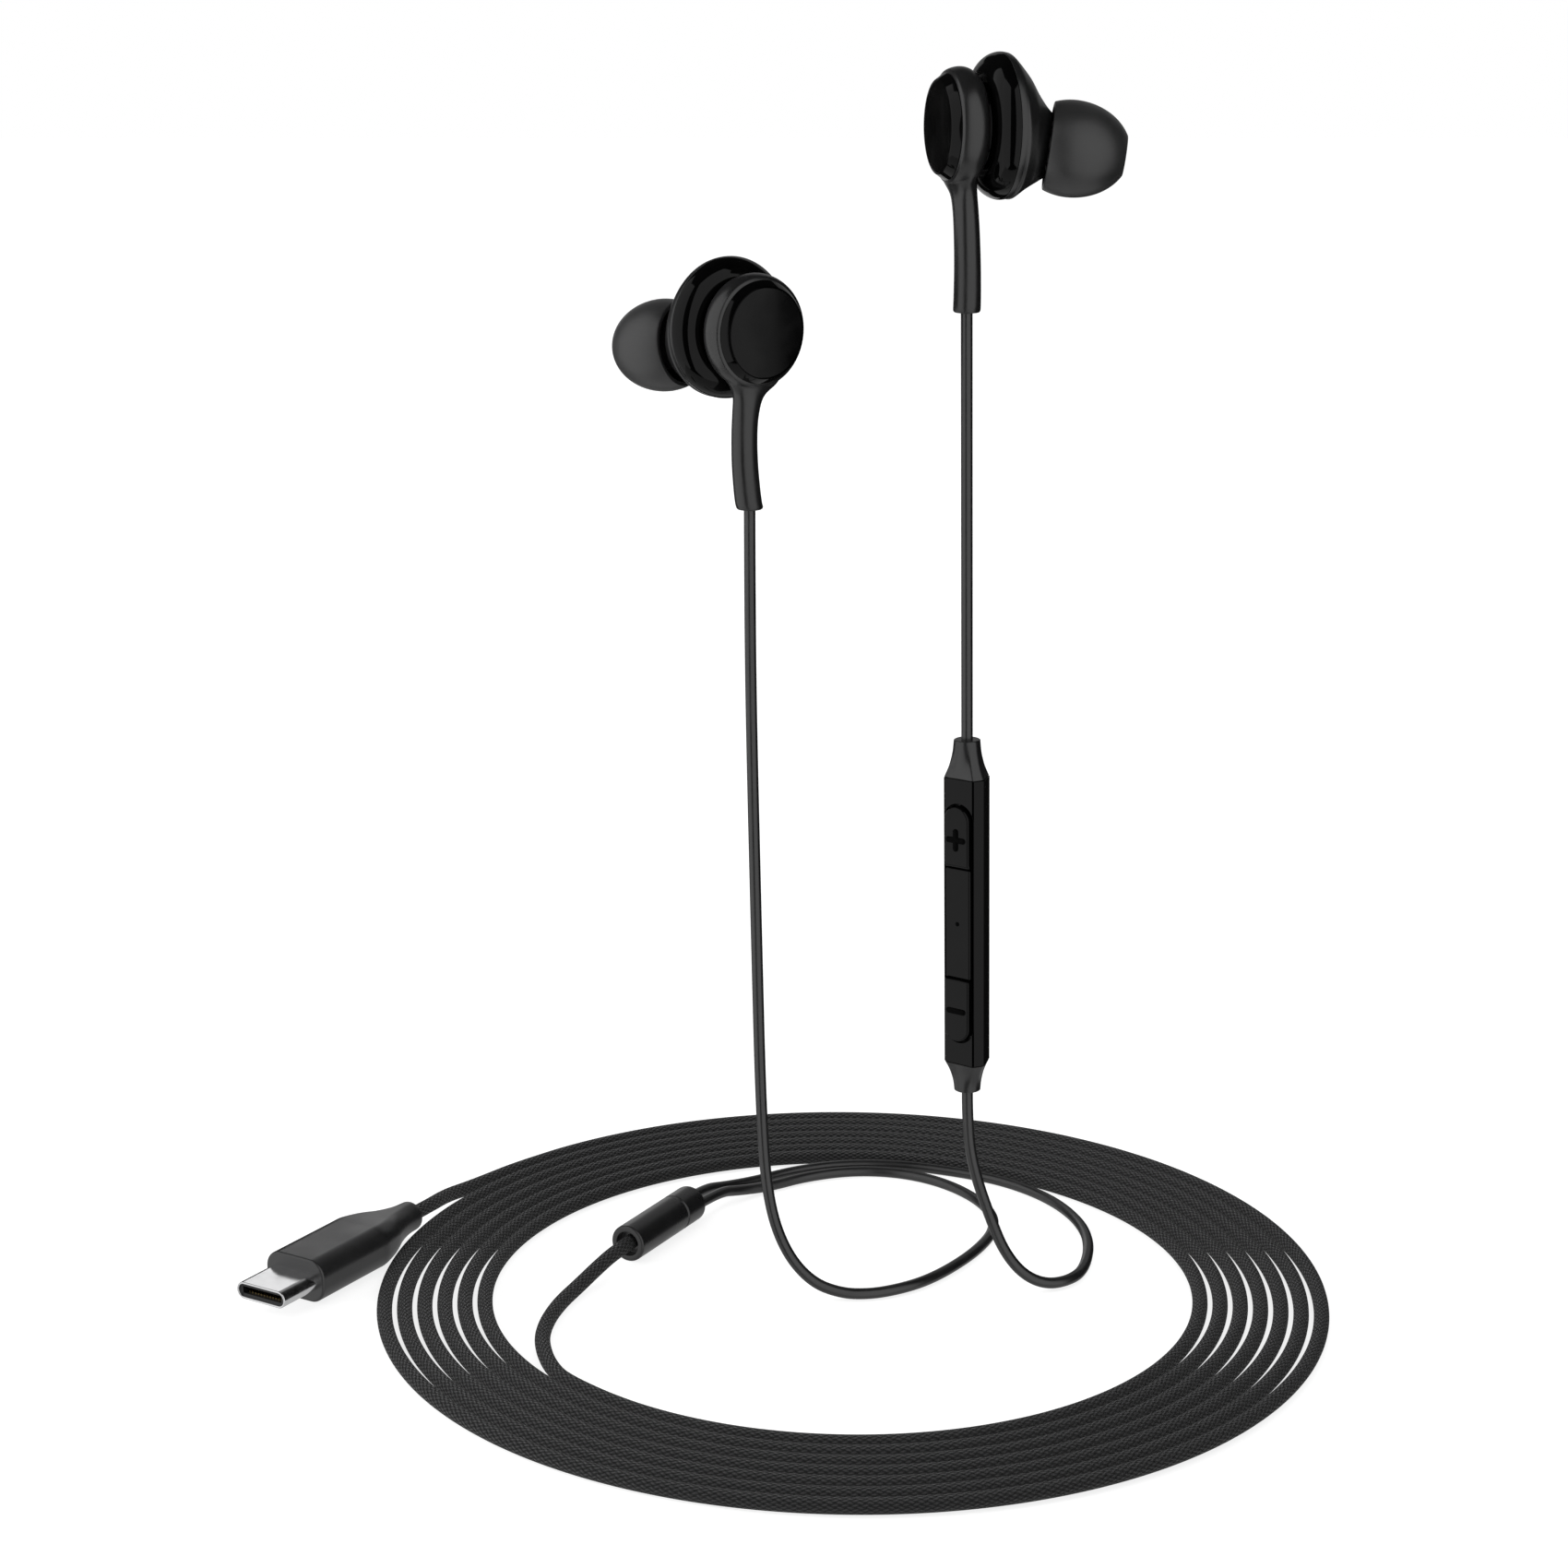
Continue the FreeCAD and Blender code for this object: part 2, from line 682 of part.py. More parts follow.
BOARD_BACK_Y = BOARD_Y + BOARD_THICKNESS
CAVITY_Y = REMOTE_DEPTH - REMOTE_WALL
REMOTE_SIDES = (-REMOTE_HALF - PAST, REMOTE_HALF + PAST)
REMOTE_ENDS = (-REMOTE_LENGTH, 0)


def remote_corners():
    """Corners of the body's six-sided section, from the front left one."""
    return [
        V(-REMOTE_FRONT_HALF, 0, 0),
        V(REMOTE_FRONT_HALF, 0, 0),
        V(REMOTE_HALF, REMOTE_CHAMFER_DEPTH, 0),
        V(REMOTE_BACK_HALF, REMOTE_DEPTH, 0),
        V(-REMOTE_BACK_HALF, REMOTE_DEPTH, 0),
        V(-REMOTE_HALF, REMOTE_CHAMFER_DEPTH, 0),
    ]


def prism(corners, low, high):
    """Upright prism over a polygon."""
    points = [V(c.x, c.y, low) for c in corners]
    face = Part.Face(Part.makePolygon(points + points[:1]))
    return face.extrude(V(0, 0, high - low))


def remote_block():
    shape = prism(remote_corners(), BODY_BOTTOM, BODY_TOP)
    upright = [e for e in shape.Edges if e.BoundBox.ZLength > REMOTE_BODY / 2]
    return shape.makeFillet(REMOTE_EDGE, upright)


def racetrack(half, bottom, top, front, back):
    """Slot shape with round ends, upright, extruded from front to back."""
    low = bottom + half
    high = top - half
    edges = [
        line(V(half, front, low), V(half, front, high)),
        arc(V(half, front, high), V(0, front, top), V(-half, front, high)),
        line(V(-half, front, high), V(-half, front, low)),
        arc(V(-half, front, low), V(0, front, bottom), V(half, front, low)),
    ]
    return Part.Face(Part.Wire(edges)).extrude(V(0, back - front, 0))


def remote_front_shell():
    side = FLANGE_SIDE + BUTTON_FIT
    half = remote_block().common(block(REMOTE_SIDES, (-PAST, REMOTE_CHAMFER_DEPTH), REMOTE_ENDS))
    slot = racetrack(SLOT_HALF, SLOT_BOTTOM, SLOT_TOP, -PAST, REMOTE_DEPTH)
    pocket = racetrack(SLOT_HALF + side, SLOT_BOTTOM - side, SLOT_TOP + side, SLOT_SKIN, REMOTE_DEPTH)
    return half.cut(slot).cut(pocket)


def remote_rear_shell():
    low = BODY_BOTTOM + BOARD_END_GAP
    high = BODY_TOP - BOARD_END_GAP
    behind_split = block(REMOTE_SIDES, (REMOTE_CHAMFER_DEPTH, REMOTE_DEPTH + PAST), REMOTE_ENDS)
    half = remote_block().common(behind_split)
    corners = [
        V(-CAVITY_FRONT_HALF, REMOTE_CHAMFER_DEPTH, 0),
        V(CAVITY_FRONT_HALF, REMOTE_CHAMFER_DEPTH, 0),
        V(CAVITY_BACK_HALF, CAVITY_Y, 0),
        V(-CAVITY_BACK_HALF, CAVITY_Y, 0),
    ]
    shell = half.cut(prism(corners, low, high))
    for top in (high - 2 * BOARD_RIB, low + 3 * BOARD_RIB):
        rib = block((-CAVITY_BACK_HALF, CAVITY_BACK_HALF), (BOARD_BACK_Y, CAVITY_Y), (top - BOARD_RIB, top))
        shell = shell.fuse(rib)
    port_start = V(0, CAVITY_Y - PAST, -MIC_FROM_TOP)
    port = Part.makeCylinder(MIC_PORT_R, REMOTE_WALL + 2 * PAST, port_start, V(0, 1, 0))
    return shell.cut(port)


def button(low, high, proud):
    """Button cap with a flange behind the slot's skin and a plunger over its switch."""
    window = block(REMOTE_SIDES, (-REMOTE_DEPTH, REMOTE_DEPTH), (low, high))
    cap = racetrack(SLOT_HALF - BUTTON_FIT, SLOT_BOTTOM + BUTTON_FIT, SLOT_TOP - BUTTON_FIT,
                    -proud, FLANGE_Y).common(window)
    front = [e for e in cap.Edges if e.BoundBox.YMax < -proud + 0.001]
    cap = cap.makeChamfer(BUTTON_EDGE, front)
    flange = racetrack(SLOT_HALF + FLANGE_SIDE, SLOT_BOTTOM - FLANGE_SIDE, SLOT_TOP + FLANGE_SIDE,
                       FLANGE_Y, FLANGE_Y + FLANGE_THICKNESS).common(window)
    middle = (max(low, SLOT_BOTTOM) + min(high, SLOT_TOP)) / 2
    start = FLANGE_Y + FLANGE_THICKNESS / 2
    plunger = Part.makeCylinder(PLUNGER_R, PLUNGER_Y - start, V(0, start, middle), V(0, 1, 0))
    return cap.fuse(flange).fuse(plunger).removeSplitter()


def button_spans():
    gap = BUTTON_FIT / 2
    return {
        "volume_up_button": (UP_SPLIT + gap, SLOT_TOP + PAST, VOLUME_PROUD),
        "play_button": (DOWN_SPLIT + gap, UP_SPLIT - gap, PLAY_PROUD),
        "volume_down_button": (SLOT_BOTTOM - PAST, DOWN_SPLIT - gap, VOLUME_PROUD),
    }


def button_middles():
    return [
        (UP_SPLIT + SLOT_TOP + BUTTON_FIT / 2) / 2,
        (UP_SPLIT + DOWN_SPLIT) / 2,
        (SLOT_BOTTOM + DOWN_SPLIT - BUTTON_FIT / 2) / 2,
    ]


def dome_switches():
    solids = []
    for z in button_middles():
        half = SWITCH_SIDE / 2
        base = block((-half, half), (SWITCH_Y, BOARD_Y), (z - half, z + half))
        dome = Part.makeCone(DOME_R, DOME_R / 2, DOME_HEIGHT, V(0, SWITCH_Y, z), V(0, -1, 0))
        solids.append(base.fuse(dome))
    return Part.Compound(solids)


def board():
    depth = (BOARD_BACK_Y - REMOTE_CHAMFER_DEPTH) / (CAVITY_Y - REMOTE_CHAMFER_DEPTH)
    half = CAVITY_FRONT_HALF + (CAVITY_BACK_HALF - CAVITY_FRONT_HALF) * depth - BOARD_FIT
    low = BODY_BOTTOM + BOARD_END_GAP + BOARD_FIT
    high = BODY_TOP - BOARD_END_GAP - BOARD_FIT
    return block((-half, half), (BOARD_Y, BOARD_BACK_Y), (low, high))


def microphone():
    half = MIC_WIDTH / 2
    low = -MIC_FROM_TOP - MIC_LENGTH / 2
    return block((-half, half), (BOARD_BACK_Y, CAVITY_Y), (low, low + MIC_LENGTH))


def cap_section(blend, z):
    """Six arcs that pass from the body's section to the round end as blend goes from 0 to 1."""
    axis = V(0, REMOTE_CORD_DEPTH, 0)
    corners = [c - axis for c in remote_corners()]
    shrink = 1 - CAP_STEP / REMOTE_CORD_DEPTH
    points = []
    for i, corner in enumerate(corners):
        after = corners[(i + 1) % len(corners)]
        flat = (corner + after) / 2
        for p in (corner, flat):
            on_circle = V(p).normalize() * CAP_END_R
            points.append(axis + p * shrink * (1 - blend) + on_circle * blend + V(0, 0, z))
    count = len(points)
    edges = []
    for i in range(0, count, 2):
        a, b, c = points[i], points[i + 1], points[(i + 2) % count]
        bulge = V(b - (axis + V(0, 0, z))).normalize() * CAP_BULGE
        edges.append(arc(a, b + bulge, c))
    return Part.Wire(edges)


CAP_FLARE = [(0.0, 0.0), (0.3, 0.5), (0.65, 0.85), (1.0, 1.0)]


def remote_cap(start, length):
    """Strain relief that flares from the cord to the body. A negative length points it down."""
    wires = [cap_section(blend, start + length * share) for share, blend in CAP_FLARE]
    return Part.makeLoft(wires, True, False)


def remote_place():
    right = bud_places()[0]
    top = right.multVec(stem_end()) + V(REMOTE_LEAN).normalize() * REMOTE_BELOW_STEM
    turn = math.radians(REMOTE_TURN)
    place = placement(top, V(REMOTE_LEAN) * -1, V(math.cos(turn), math.sin(turn), 0))
    return place.multiply(FreeCAD.Placement(V(0, -REMOTE_CORD_DEPTH, 0), FreeCAD.Rotation()))


def make_remote():
    place = remote_place()
    save("remote_front_shell", put(remote_front_shell(), place))
    save("remote_rear_shell", put(remote_rear_shell(), place))
    save("remote_top_cap", put(remote_cap(BODY_TOP, TOP_CAP), place))
    save("remote_bottom_cap", put(remote_cap(BODY_BOTTOM, -BOTTOM_CAP), place))
    for name, (low, high, proud) in button_spans().items():
        save(name, put(button(low, high, proud), place))
    save("remote_board", put(board(), place))
    save("remote_dome_switches", put(dome_switches(), place))
    save("remote_microphone", put(microphone(), place))


# Splitter pieces. They are made along Z from the end where the braided cord comes out.

def splitter_place():
    turn = math.radians(SPLITTER_TURN)
    origin = V(SPLITTER_AT[0], SPLITTER_AT[1], SURFACE_Z + SPLITTER_R)
    return placement(origin, V(math.cos(turn), math.sin(turn), 0), V(-math.sin(turn), math.cos(turn), 0))


def splitter_body():
    core_end = SPLITTER_LENGTH - CORE_END_WALL
    half = SPLITTER_EDGE * (1 - math.sqrt(0.5))
    shape = turned((BRAID_D / 2 + SLIDER_FIT, RECESS_DEPTH), [
        [(RECESS_R, RECESS_DEPTH)],
        [(RECESS_R, 0)],
        [(SPLITTER_R - SPLITTER_EDGE, 0)],
        [(SPLITTER_R - half, half), (SPLITTER_R, SPLITTER_EDGE)],
        [(SPLITTER_R, SPLITTER_LENGTH - SLIDER_GROOVE)],
        [(SPLITTER_R - SLIDER_GROOVE, SPLITTER_LENGTH)],
        [(0, SPLITTER_LENGTH)],
        [(0, core_end)],
        [(CORE_R, core_end)],
        [(CORE_R, RECESS_DEPTH + CORE_END_WALL)],
        [(BRAID_D / 2 + SLIDER_FIT, RECESS_DEPTH + CORE_END_WALL)]])
    return shape


def splitter_core():
    return rod(CORE_R - NECK_FIT, RECESS_DEPTH + CORE_END_WALL, SPLITTER_LENGTH - CORE_END_WALL)


def cord_slider():
    end = SPLITTER_LENGTH + SLIDER_LENGTH
    half = SLIDER_EDGE * (1 - math.sqrt(0.5))
    shape = turned((0, SPLITTER_LENGTH), [
        [(SPLITTER_R - SLIDER_GROOVE, SPLITTER_LENGTH)],
        [(SPLITTER_R, SPLITTER_LENGTH + SLIDER_GROOVE)],
        [(SPLITTER_R, end - SLIDER_EDGE)],
        [(SPLITTER_R - half, end - half), (SPLITTER_R - SLIDER_EDGE, end)],
        [(0, end)]])
    for side in (-1, 1):
        bore = Part.makeCylinder(THIN_D / 2 + SLIDER_FIT, SLIDER_LENGTH + 2 * PAST,
                                 V(side * THIN_SPACING / 2, 0, SPLITTER_LENGTH - PAST))
        shape = shape.cut(bore)
    return shape


def make_splitter():
    place = splitter_place()
    save("splitter_body", put(splitter_body(), place))
    save("splitter_core", put(splitter_core(), place))
    save("cord_slider", put(cord_slider(), place))


# Plug pieces. They are made along Z from the mouth of the steel shell, with +Y up.

GRIP_FRONT = PLUG_SHELL_OUT
GRIP_SHOULDER = GRIP_FRONT + GRIP_STRAIGHT
GRIP_END = GRIP_SHOULDER + GRIP_TAPER
SHELL_BACK = GRIP_FRONT + PLUG_SHELL_IN
BOARD_FRONT = INSULATOR_SETBACK + INSULATOR_DEPTH


def plug_place():
    turn = math.radians(PLUG_TURN)
    origin = V(PLUG_AT[0], PLUG_AT[1], SURFACE_Z + GRIP_HALF_HEIGHT)
    return placement(origin, V(math.cos(turn), math.sin(turn), 0), V(-math.sin(turn), math.cos(turn), 0))


def rounded_wire(half_x, half_y, corner, z):
    """Rounded rectangle: four straight sides and four corner arcs."""
    radius = min(corner, half_x - 0.03, half_y - 0.03)
    swing = radius * (1 - math.sqrt(0.5))
    x, y = half_x, half_y
    edges = []
    for sx, sy in ((1, 1), (-1, 1), (-1, -1), (1, -1)):
        side = V(sx * x, sy * (y - radius), z)
        middle = V(sx * (x - swing), sy * (y - swing), z)
        top = V(sx * (x - radius), sy * y, z)
        edges.append((side, middle, top) if sx * sy > 0 else (top, middle, side))
    wire = []
    for i, (a, b, c) in enumerate(edges):
        wire.append(arc(a, b, c))
        wire.append(line(c, edges[(i + 1) % 4][0]))
    return Part.Wire(wire)


def rounded_bar(half_x, half_y, corner, low, high):
    return Part.Face(rounded_wire(half_x, half_y, corner, low)).extrude(V(0, 0, high - low))


# Shares of the taper's length and of the way from the grip's section to the round neck
GRIP_SHAPE = [(0.0, 0.0), (0.12, 0.02), (0.34, 0.28), (0.56, 0.68), (0.78, 0.93), (1.0, 1.0)]


def grip_wire(share, blend):
    half = GRIP_HALF + (GRIP_END_R - GRIP_HALF) * blend
    height = GRIP_HALF_HEIGHT + (GRIP_END_R - GRIP_HALF_HEIGHT) * blend
    corner = GRIP_CORNER + (GRIP_END_R - GRIP_CORNER) * blend
    return rounded_wire(half, height, corner, GRIP_SHOULDER + GRIP_TAPER * share)


def plug_grip():
    front = rounded_bar(GRIP_HALF, GRIP_HALF_HEIGHT, GRIP_CORNER, GRIP_FRONT, GRIP_SHOULDER)
    front = front.makeFillet(GRIP_EDGE, [e for e in front.Edges if e.BoundBox.ZMax < GRIP_FRONT + 0.001])
    taper = Part.makeLoft([grip_wire(share, blend) for share, blend in GRIP_SHAPE], True, False)
    taper = taper.makeFillet(GRIP_END_EDGE, [e for e in taper.Edges if e.BoundBox.ZMin > GRIP_END - 0.001])
    shell_hole = rounded_bar(PLUG_SHELL_HALF, PLUG_SHELL_HEIGHT / 2, PLUG_SHELL_HEIGHT / 2,
                             GRIP_FRONT - PAST, SHELL_BACK)
    pocket = PLUG_BOARD_POCKET
    board_hole = block((-PLUG_BOARD_HALF - pocket, PLUG_BOARD_HALF + pocket),
                       (-PLUG_BOARD_THICKNESS / 2 - pocket, PLUG_BOARD_THICKNESS / 2 + pocket),
                       (SHELL_BACK - PAST, BOARD_FRONT + PLUG_BOARD_LENGTH))
    crimp_low = BOARD_FRONT + PLUG_BOARD_LENGTH
    crimp_hole = rod(CRIMP_R, crimp_low - PAST, crimp_low + CRIMP_LENGTH)
    return front.fuse(taper).cut(shell_hole).cut(board_hole).cut(crimp_hole)


def plug_shell():
    outer = rounded_bar(PLUG_SHELL_HALF, PLUG_SHELL_HEIGHT / 2, PLUG_SHELL_HEIGHT / 2, 0, SHELL_BACK)
    half = PLUG_SHELL_HALF - PLUG_SHELL_WALL
    height = PLUG_SHELL_HEIGHT / 2 - PLUG_SHELL_WALL
    return outer.cut(rounded_bar(half, height, height, -PAST, SHELL_BACK + PAST))


def plug_insulator():
    half = PLUG_SHELL_HALF - PLUG_SHELL_WALL
    height = PLUG_SHELL_HEIGHT / 2 - PLUG_SHELL_WALL
    shape = rounded_bar(half, height, height, INSULATOR_SETBACK, BOARD_FRONT)
    slot = block((-TONGUE_SLOT_HALF, TONGUE_SLOT_HALF),
                 (-TONGUE_SLOT_HEIGHT / 2, TONGUE_SLOT_HEIGHT / 2),
                 (-PAST, INSULATOR_SETBACK + TONGUE_SLOT_DEPTH))
    return shape.cut(slot)


def plug_contacts():
    """Two rows of flat springs on the upper and lower walls of the slot."""
    low = INSULATOR_SETBACK + CONTACT_SETBACK
    wall = TONGUE_SLOT_HEIGHT / 2
    solids = []
    for i in range(CONTACT_COUNT):
        x = (i - (CONTACT_COUNT - 1) / 2) * CONTACT_PITCH
        side = (x - CONTACT_WIDTH / 2, x + CONTACT_WIDTH / 2)
        solids.append(block(side, (wall - CONTACT_HEIGHT, wall), (low, low + CONTACT_LENGTH)))
        solids.append(block(side, (-wall, CONTACT_HEIGHT - wall), (low, low + CONTACT_LENGTH)))
    return Part.Compound(solids)


def plug_board():
    return block((-PLUG_BOARD_HALF, PLUG_BOARD_HALF),
                 (-PLUG_BOARD_THICKNESS / 2, PLUG_BOARD_THICKNESS / 2),
                 (BOARD_FRONT, BOARD_FRONT + PLUG_BOARD_LENGTH))


def plug_cord_crimp():
    low = BOARD_FRONT + PLUG_BOARD_LENGTH
    high = low + CRIMP_LENGTH
    return rod(CRIMP_R, low, high).cut(rod(CRIMP_R - CRIMP_WALL, low - PAST, high + PAST))


def make_plug():
    place = plug_place()
    for build in (plug_grip, plug_shell, plug_insulator, plug_contacts, plug_board, plug_cord_crimp):
        save(build.__name__, put(build(), place))


# Cords

def sides_wire(centre, along, diameter, sides):
    """Regular polygon across a cord, with a flat side towards the surface below."""
    z = V(along).normalize()
    side = V(0, 0, 1).cross(z)
    if side.Length < 0.1:
        side = V(1, 0, 0)
    place = placement(centre, z, side)
    radius = diameter / 2 / math.cos(math.pi / sides)
    points = []
    for i in range(sides):
        angle = 2 * math.pi * (i + 0.5) / sides
        points.append(place.multVec(V(radius * math.cos(angle), radius * math.sin(angle), 0)))
    return Part.makePolygon(points + points[:1])


def section_area(diameter, sides):
    return sides * (diameter / 2) ** 2 * math.tan(math.pi / sides)


def route_edges(points):
    """Straight runs joined by tangent arcs, each as large as its two runs allow."""
    edges = []
    radii = []
    here = points[0]
    for i in range(1, len(points) - 1):
        before = (points[i] - points[i - 1])
        after = (points[i + 1] - points[i])
        reach = 0.45 * min(before.Length, after.Length)
        turn = before.getAngle(after)
        back = points[i] - V(before).normalize() * reach
        ahead = points[i] + V(after).normalize() * reach
        radius = reach / math.tan(turn / 2)
        inward = (V(after).normalize() - V(before).normalize()).normalize()
        middle = points[i] + inward * (radius / math.cos(turn / 2) - radius)
        edges.append(line(here, back))
        edges.append(arc(back, middle, ahead))
        radii.append(round(radius, 1))
        here = ahead
    edges.append(line(here, points[-1]))
    return edges, radii


def sweep(edges, diameter, sides):
    path = Part.Wire(edges)
    start = edges[0].valueAt(edges[0].FirstParameter)
    along = edges[0].tangentAt(edges[0].FirstParameter)
    profile = sides_wire(start, along, diameter, sides)
    shape = path.makePipeShell([profile], True, False)
    expected = section_area(diameter, sides) * path.Length
    print("  length", round(path.Length, 1), "volume / (section x length)", round(shape.Volume / expected, 4))
    return shape


def routed_cord(name, points, diameter, sides):
    edges, radii = route_edges(points)
    print(name, "radii", radii)
    save(name, sweep(edges, diameter, sides))


def coil_unit(turn):
    return V(math.cos(math.radians(turn)), math.sin(math.radians(turn)), 0)


def coil_height():
    return V(0, 0, SURFACE_Z + BRAID_D / 2)


def coil_edges():
    """Half-turn arcs about two centres half a pitch apart, and a straight run at each end."""
    middle = V(COIL_AT[0], COIL_AT[1], 0) + coil_height()
    spread = coil_unit(COIL_START_TURN) * (COIL_PITCH / 4)
    edges = []
    turn = COIL_START_TURN
    radius = COIL_START_R + COIL_PITCH / 4
    for i in range(COIL_HALF_TURNS + 1):
        centre = middle - spread if i % 2 == 0 else middle + spread
        swing = 180 if i < COIL_HALF_TURNS else COIL_LAST_TURN
        places = [centre + coil_unit(turn + swing * share) * radius for share in (0, 0.5, 1)]
        edges.append(arc(*places))
        turn += swing
        radius += COIL_PITCH / 2
    first = edges[0]
    start = first.valueAt(first.FirstParameter)
    lead_in = start - first.tangentAt(first.FirstParameter) * COIL_END_RUN
    last = edges[-1]
    end = last.valueAt(last.LastParameter)
    run_out = end + last.tangentAt(last.LastParameter) * COIL_END_RUN
    lead_turn = lead_in - first.tangentAt(first.FirstParameter) * COIL_RUN
    tail_turn = run_out + last.tangentAt(last.LastParameter) * COIL_RUN
    return [line(lead_in, start)] + edges + [line(end, run_out)], (lead_turn, lead_in), (run_out, tail_turn)


def coil_gap(edges):
    """Least gap between the coil's turns, measured on points along its middle line."""
    points = []
    for edge in edges:
        count = max(2, int(edge.Length / 3))
        points += edge.discretize(count)[:-1]
    least = 1e9
    for i, a in enumerate(points):
        for j in range(i + 30, len(points)):
            gap = a.distanceToPoint(points[j])
            least = min(least, gap)
    return least - BRAID_D


def make_cords():
    right, left = bud_places()
    lean = V(REMOTE_LEAN).normalize()
    splitter = splitter_place()
    plug = plug_place()
    near = splitter.multVec(V(-THIN_SPACING / 2, 0, SPLITTER_LENGTH))
    far = splitter.multVec(V(THIN_SPACING / 2, 0, SPLITTER_LENGTH))
    straight = V(0, 0, SLIDER_LENGTH + SLIDER_TRAVEL + SLIDER_CLEAR)
    near_clear = splitter.multVec(V(-THIN_SPACING / 2, 0, SPLITTER_LENGTH) + straight)
    far_clear = splitter.multVec(V(THIN_SPACING / 2, 0, SPLITTER_LENGTH) + straight)
    left_end = left.multVec(V(-stem_end().x, stem_end().y, stem_end().z))
    right_end = right.multVec(stem_end())
    remote_top = right_end + lean * REMOTE_BELOW_STEM
    remote_bottom = remote_top + lean * REMOTE_LENGTH
    stem_exit = left_end - V(0, 0, STEM_RUN)
    remote_exit = remote_bottom + lean * REMOTE_RUN
    lead_start = splitter.multVec(V(0, 0, RECESS_DEPTH + CORE_END_WALL))
    lead_exit = splitter.multVec(V(0, 0, -SPLITTER_RUN))
    plug_end = plug.multVec(V(0, 0, GRIP_END))
    plug_exit = plug.multVec(V(0, 0, GRIP_END + PLUG_RUN))
    edges, lead_ends, tail_ends = coil_edges()
    print("least gap between turns", round(coil_gap(edges), 2))
    save("main_cord_coil", sweep(edges, BRAID_D, BRAID_SIDES))
    left_points = [left_end, stem_exit] + LEFT_ROUTE + [near_clear, near]
    right_points = [remote_bottom, remote_exit] + RIGHT_ROUTE + [far_clear, far]
    lead_points = [lead_start, lead_exit] + LEAD_ROUTE + list(lead_ends)
    tail_points = list(tail_ends) + TAIL_ROUTE + [plug_exit, plug_end]
    save("cord_right_upper", sweep([line(right_end, remote_top)], THIN_D, THIN_SIDES))
    routed_cord("cord_left", left_points, THIN_D, THIN_SIDES)
    routed_cord("cord_right_lower", right_points, THIN_D, THIN_SIDES)
    routed_cord("main_cord_lead", lead_points, BRAID_D, BRAID_SIDES)
    routed_cord("main_cord_tail", tail_points, BRAID_D, BRAID_SIDES)


def main():
    os.makedirs("parts", exist_ok=True)
    make_earbuds()
    make_remote()
    make_splitter()
    make_plug()
    make_cords()


main()
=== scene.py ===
import bpy
import bmesh
import cmath
import json
import math
import numpy as np
from mathutils import Matrix, Vector, geometry

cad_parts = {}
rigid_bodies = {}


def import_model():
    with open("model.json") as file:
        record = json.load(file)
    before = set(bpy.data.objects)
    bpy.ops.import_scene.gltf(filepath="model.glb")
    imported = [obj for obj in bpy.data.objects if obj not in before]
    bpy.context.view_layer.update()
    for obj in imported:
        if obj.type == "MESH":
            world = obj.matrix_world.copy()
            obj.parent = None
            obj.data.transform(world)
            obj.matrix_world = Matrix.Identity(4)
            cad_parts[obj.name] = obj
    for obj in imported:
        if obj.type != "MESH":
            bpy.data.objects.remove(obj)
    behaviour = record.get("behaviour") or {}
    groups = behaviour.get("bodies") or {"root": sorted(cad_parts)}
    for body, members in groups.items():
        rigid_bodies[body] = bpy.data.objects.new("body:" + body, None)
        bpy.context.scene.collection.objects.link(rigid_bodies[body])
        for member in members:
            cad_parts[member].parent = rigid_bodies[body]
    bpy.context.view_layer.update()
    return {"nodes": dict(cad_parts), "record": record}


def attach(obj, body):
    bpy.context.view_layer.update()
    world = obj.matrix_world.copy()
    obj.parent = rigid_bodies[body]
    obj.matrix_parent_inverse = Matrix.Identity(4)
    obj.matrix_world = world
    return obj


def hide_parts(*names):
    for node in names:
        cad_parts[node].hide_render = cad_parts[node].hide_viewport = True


# Wired in-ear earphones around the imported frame. Sizes below are in millimetres and angles in degrees,
# in the frame's axes: origin at the mouth of the right ear tip, +X right, +Y back, +Z up.
MM = 0.001

for old in list(bpy.data.objects):
    bpy.data.objects.remove(old)
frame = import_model()


def V(x, y, z):
    return Vector((x, y, z))

def heading(turn):
    """Level direction at an angle from +X."""
    return V(math.cos(math.radians(turn)), math.sin(math.radians(turn)), 0)


def add_object(name, data):
    obj = bpy.data.objects.new(name, data)
    bpy.context.scene.collection.objects.link(obj)
    return obj


# Camera at the photograph's viewing angle

CAMERA_AT = V(-41.87, -390.6, 21.96)
CAMERA_PITCH = 14.591
CAMERA_LENS = 71.679
CAMERA_SENSOR = 36.0
CAMERA_CLIP = (0.01, 20)


def make_camera():
    data = bpy.data.cameras.new("camera")
    data.lens = CAMERA_LENS
    data.sensor_width = CAMERA_SENSOR
    data.clip_start, data.clip_end = CAMERA_CLIP
    camera = add_object("camera", data)
    camera.location = CAMERA_AT * MM
    camera.rotation_euler = (math.radians(90 - CAMERA_PITCH), 0, 0)
    bpy.context.scene.camera = camera


make_camera()


# Materials. The cells of a noise are counted per metre, and an owner is a material or the world.

COOL = 1.03
SATIN_TONES = (0.88, 1.12)
SATIN_ROUGHER = (-0.04, 0.05)
SATIN_CLOUDS = (180, 3)
METAL_TONES = (0.93, 1)
BRAID_CARRIERS = 24
BRAID_LAY = 0.014
BRAID_CROSSING = 0.8
BRAID_RELIEF = 0.00022


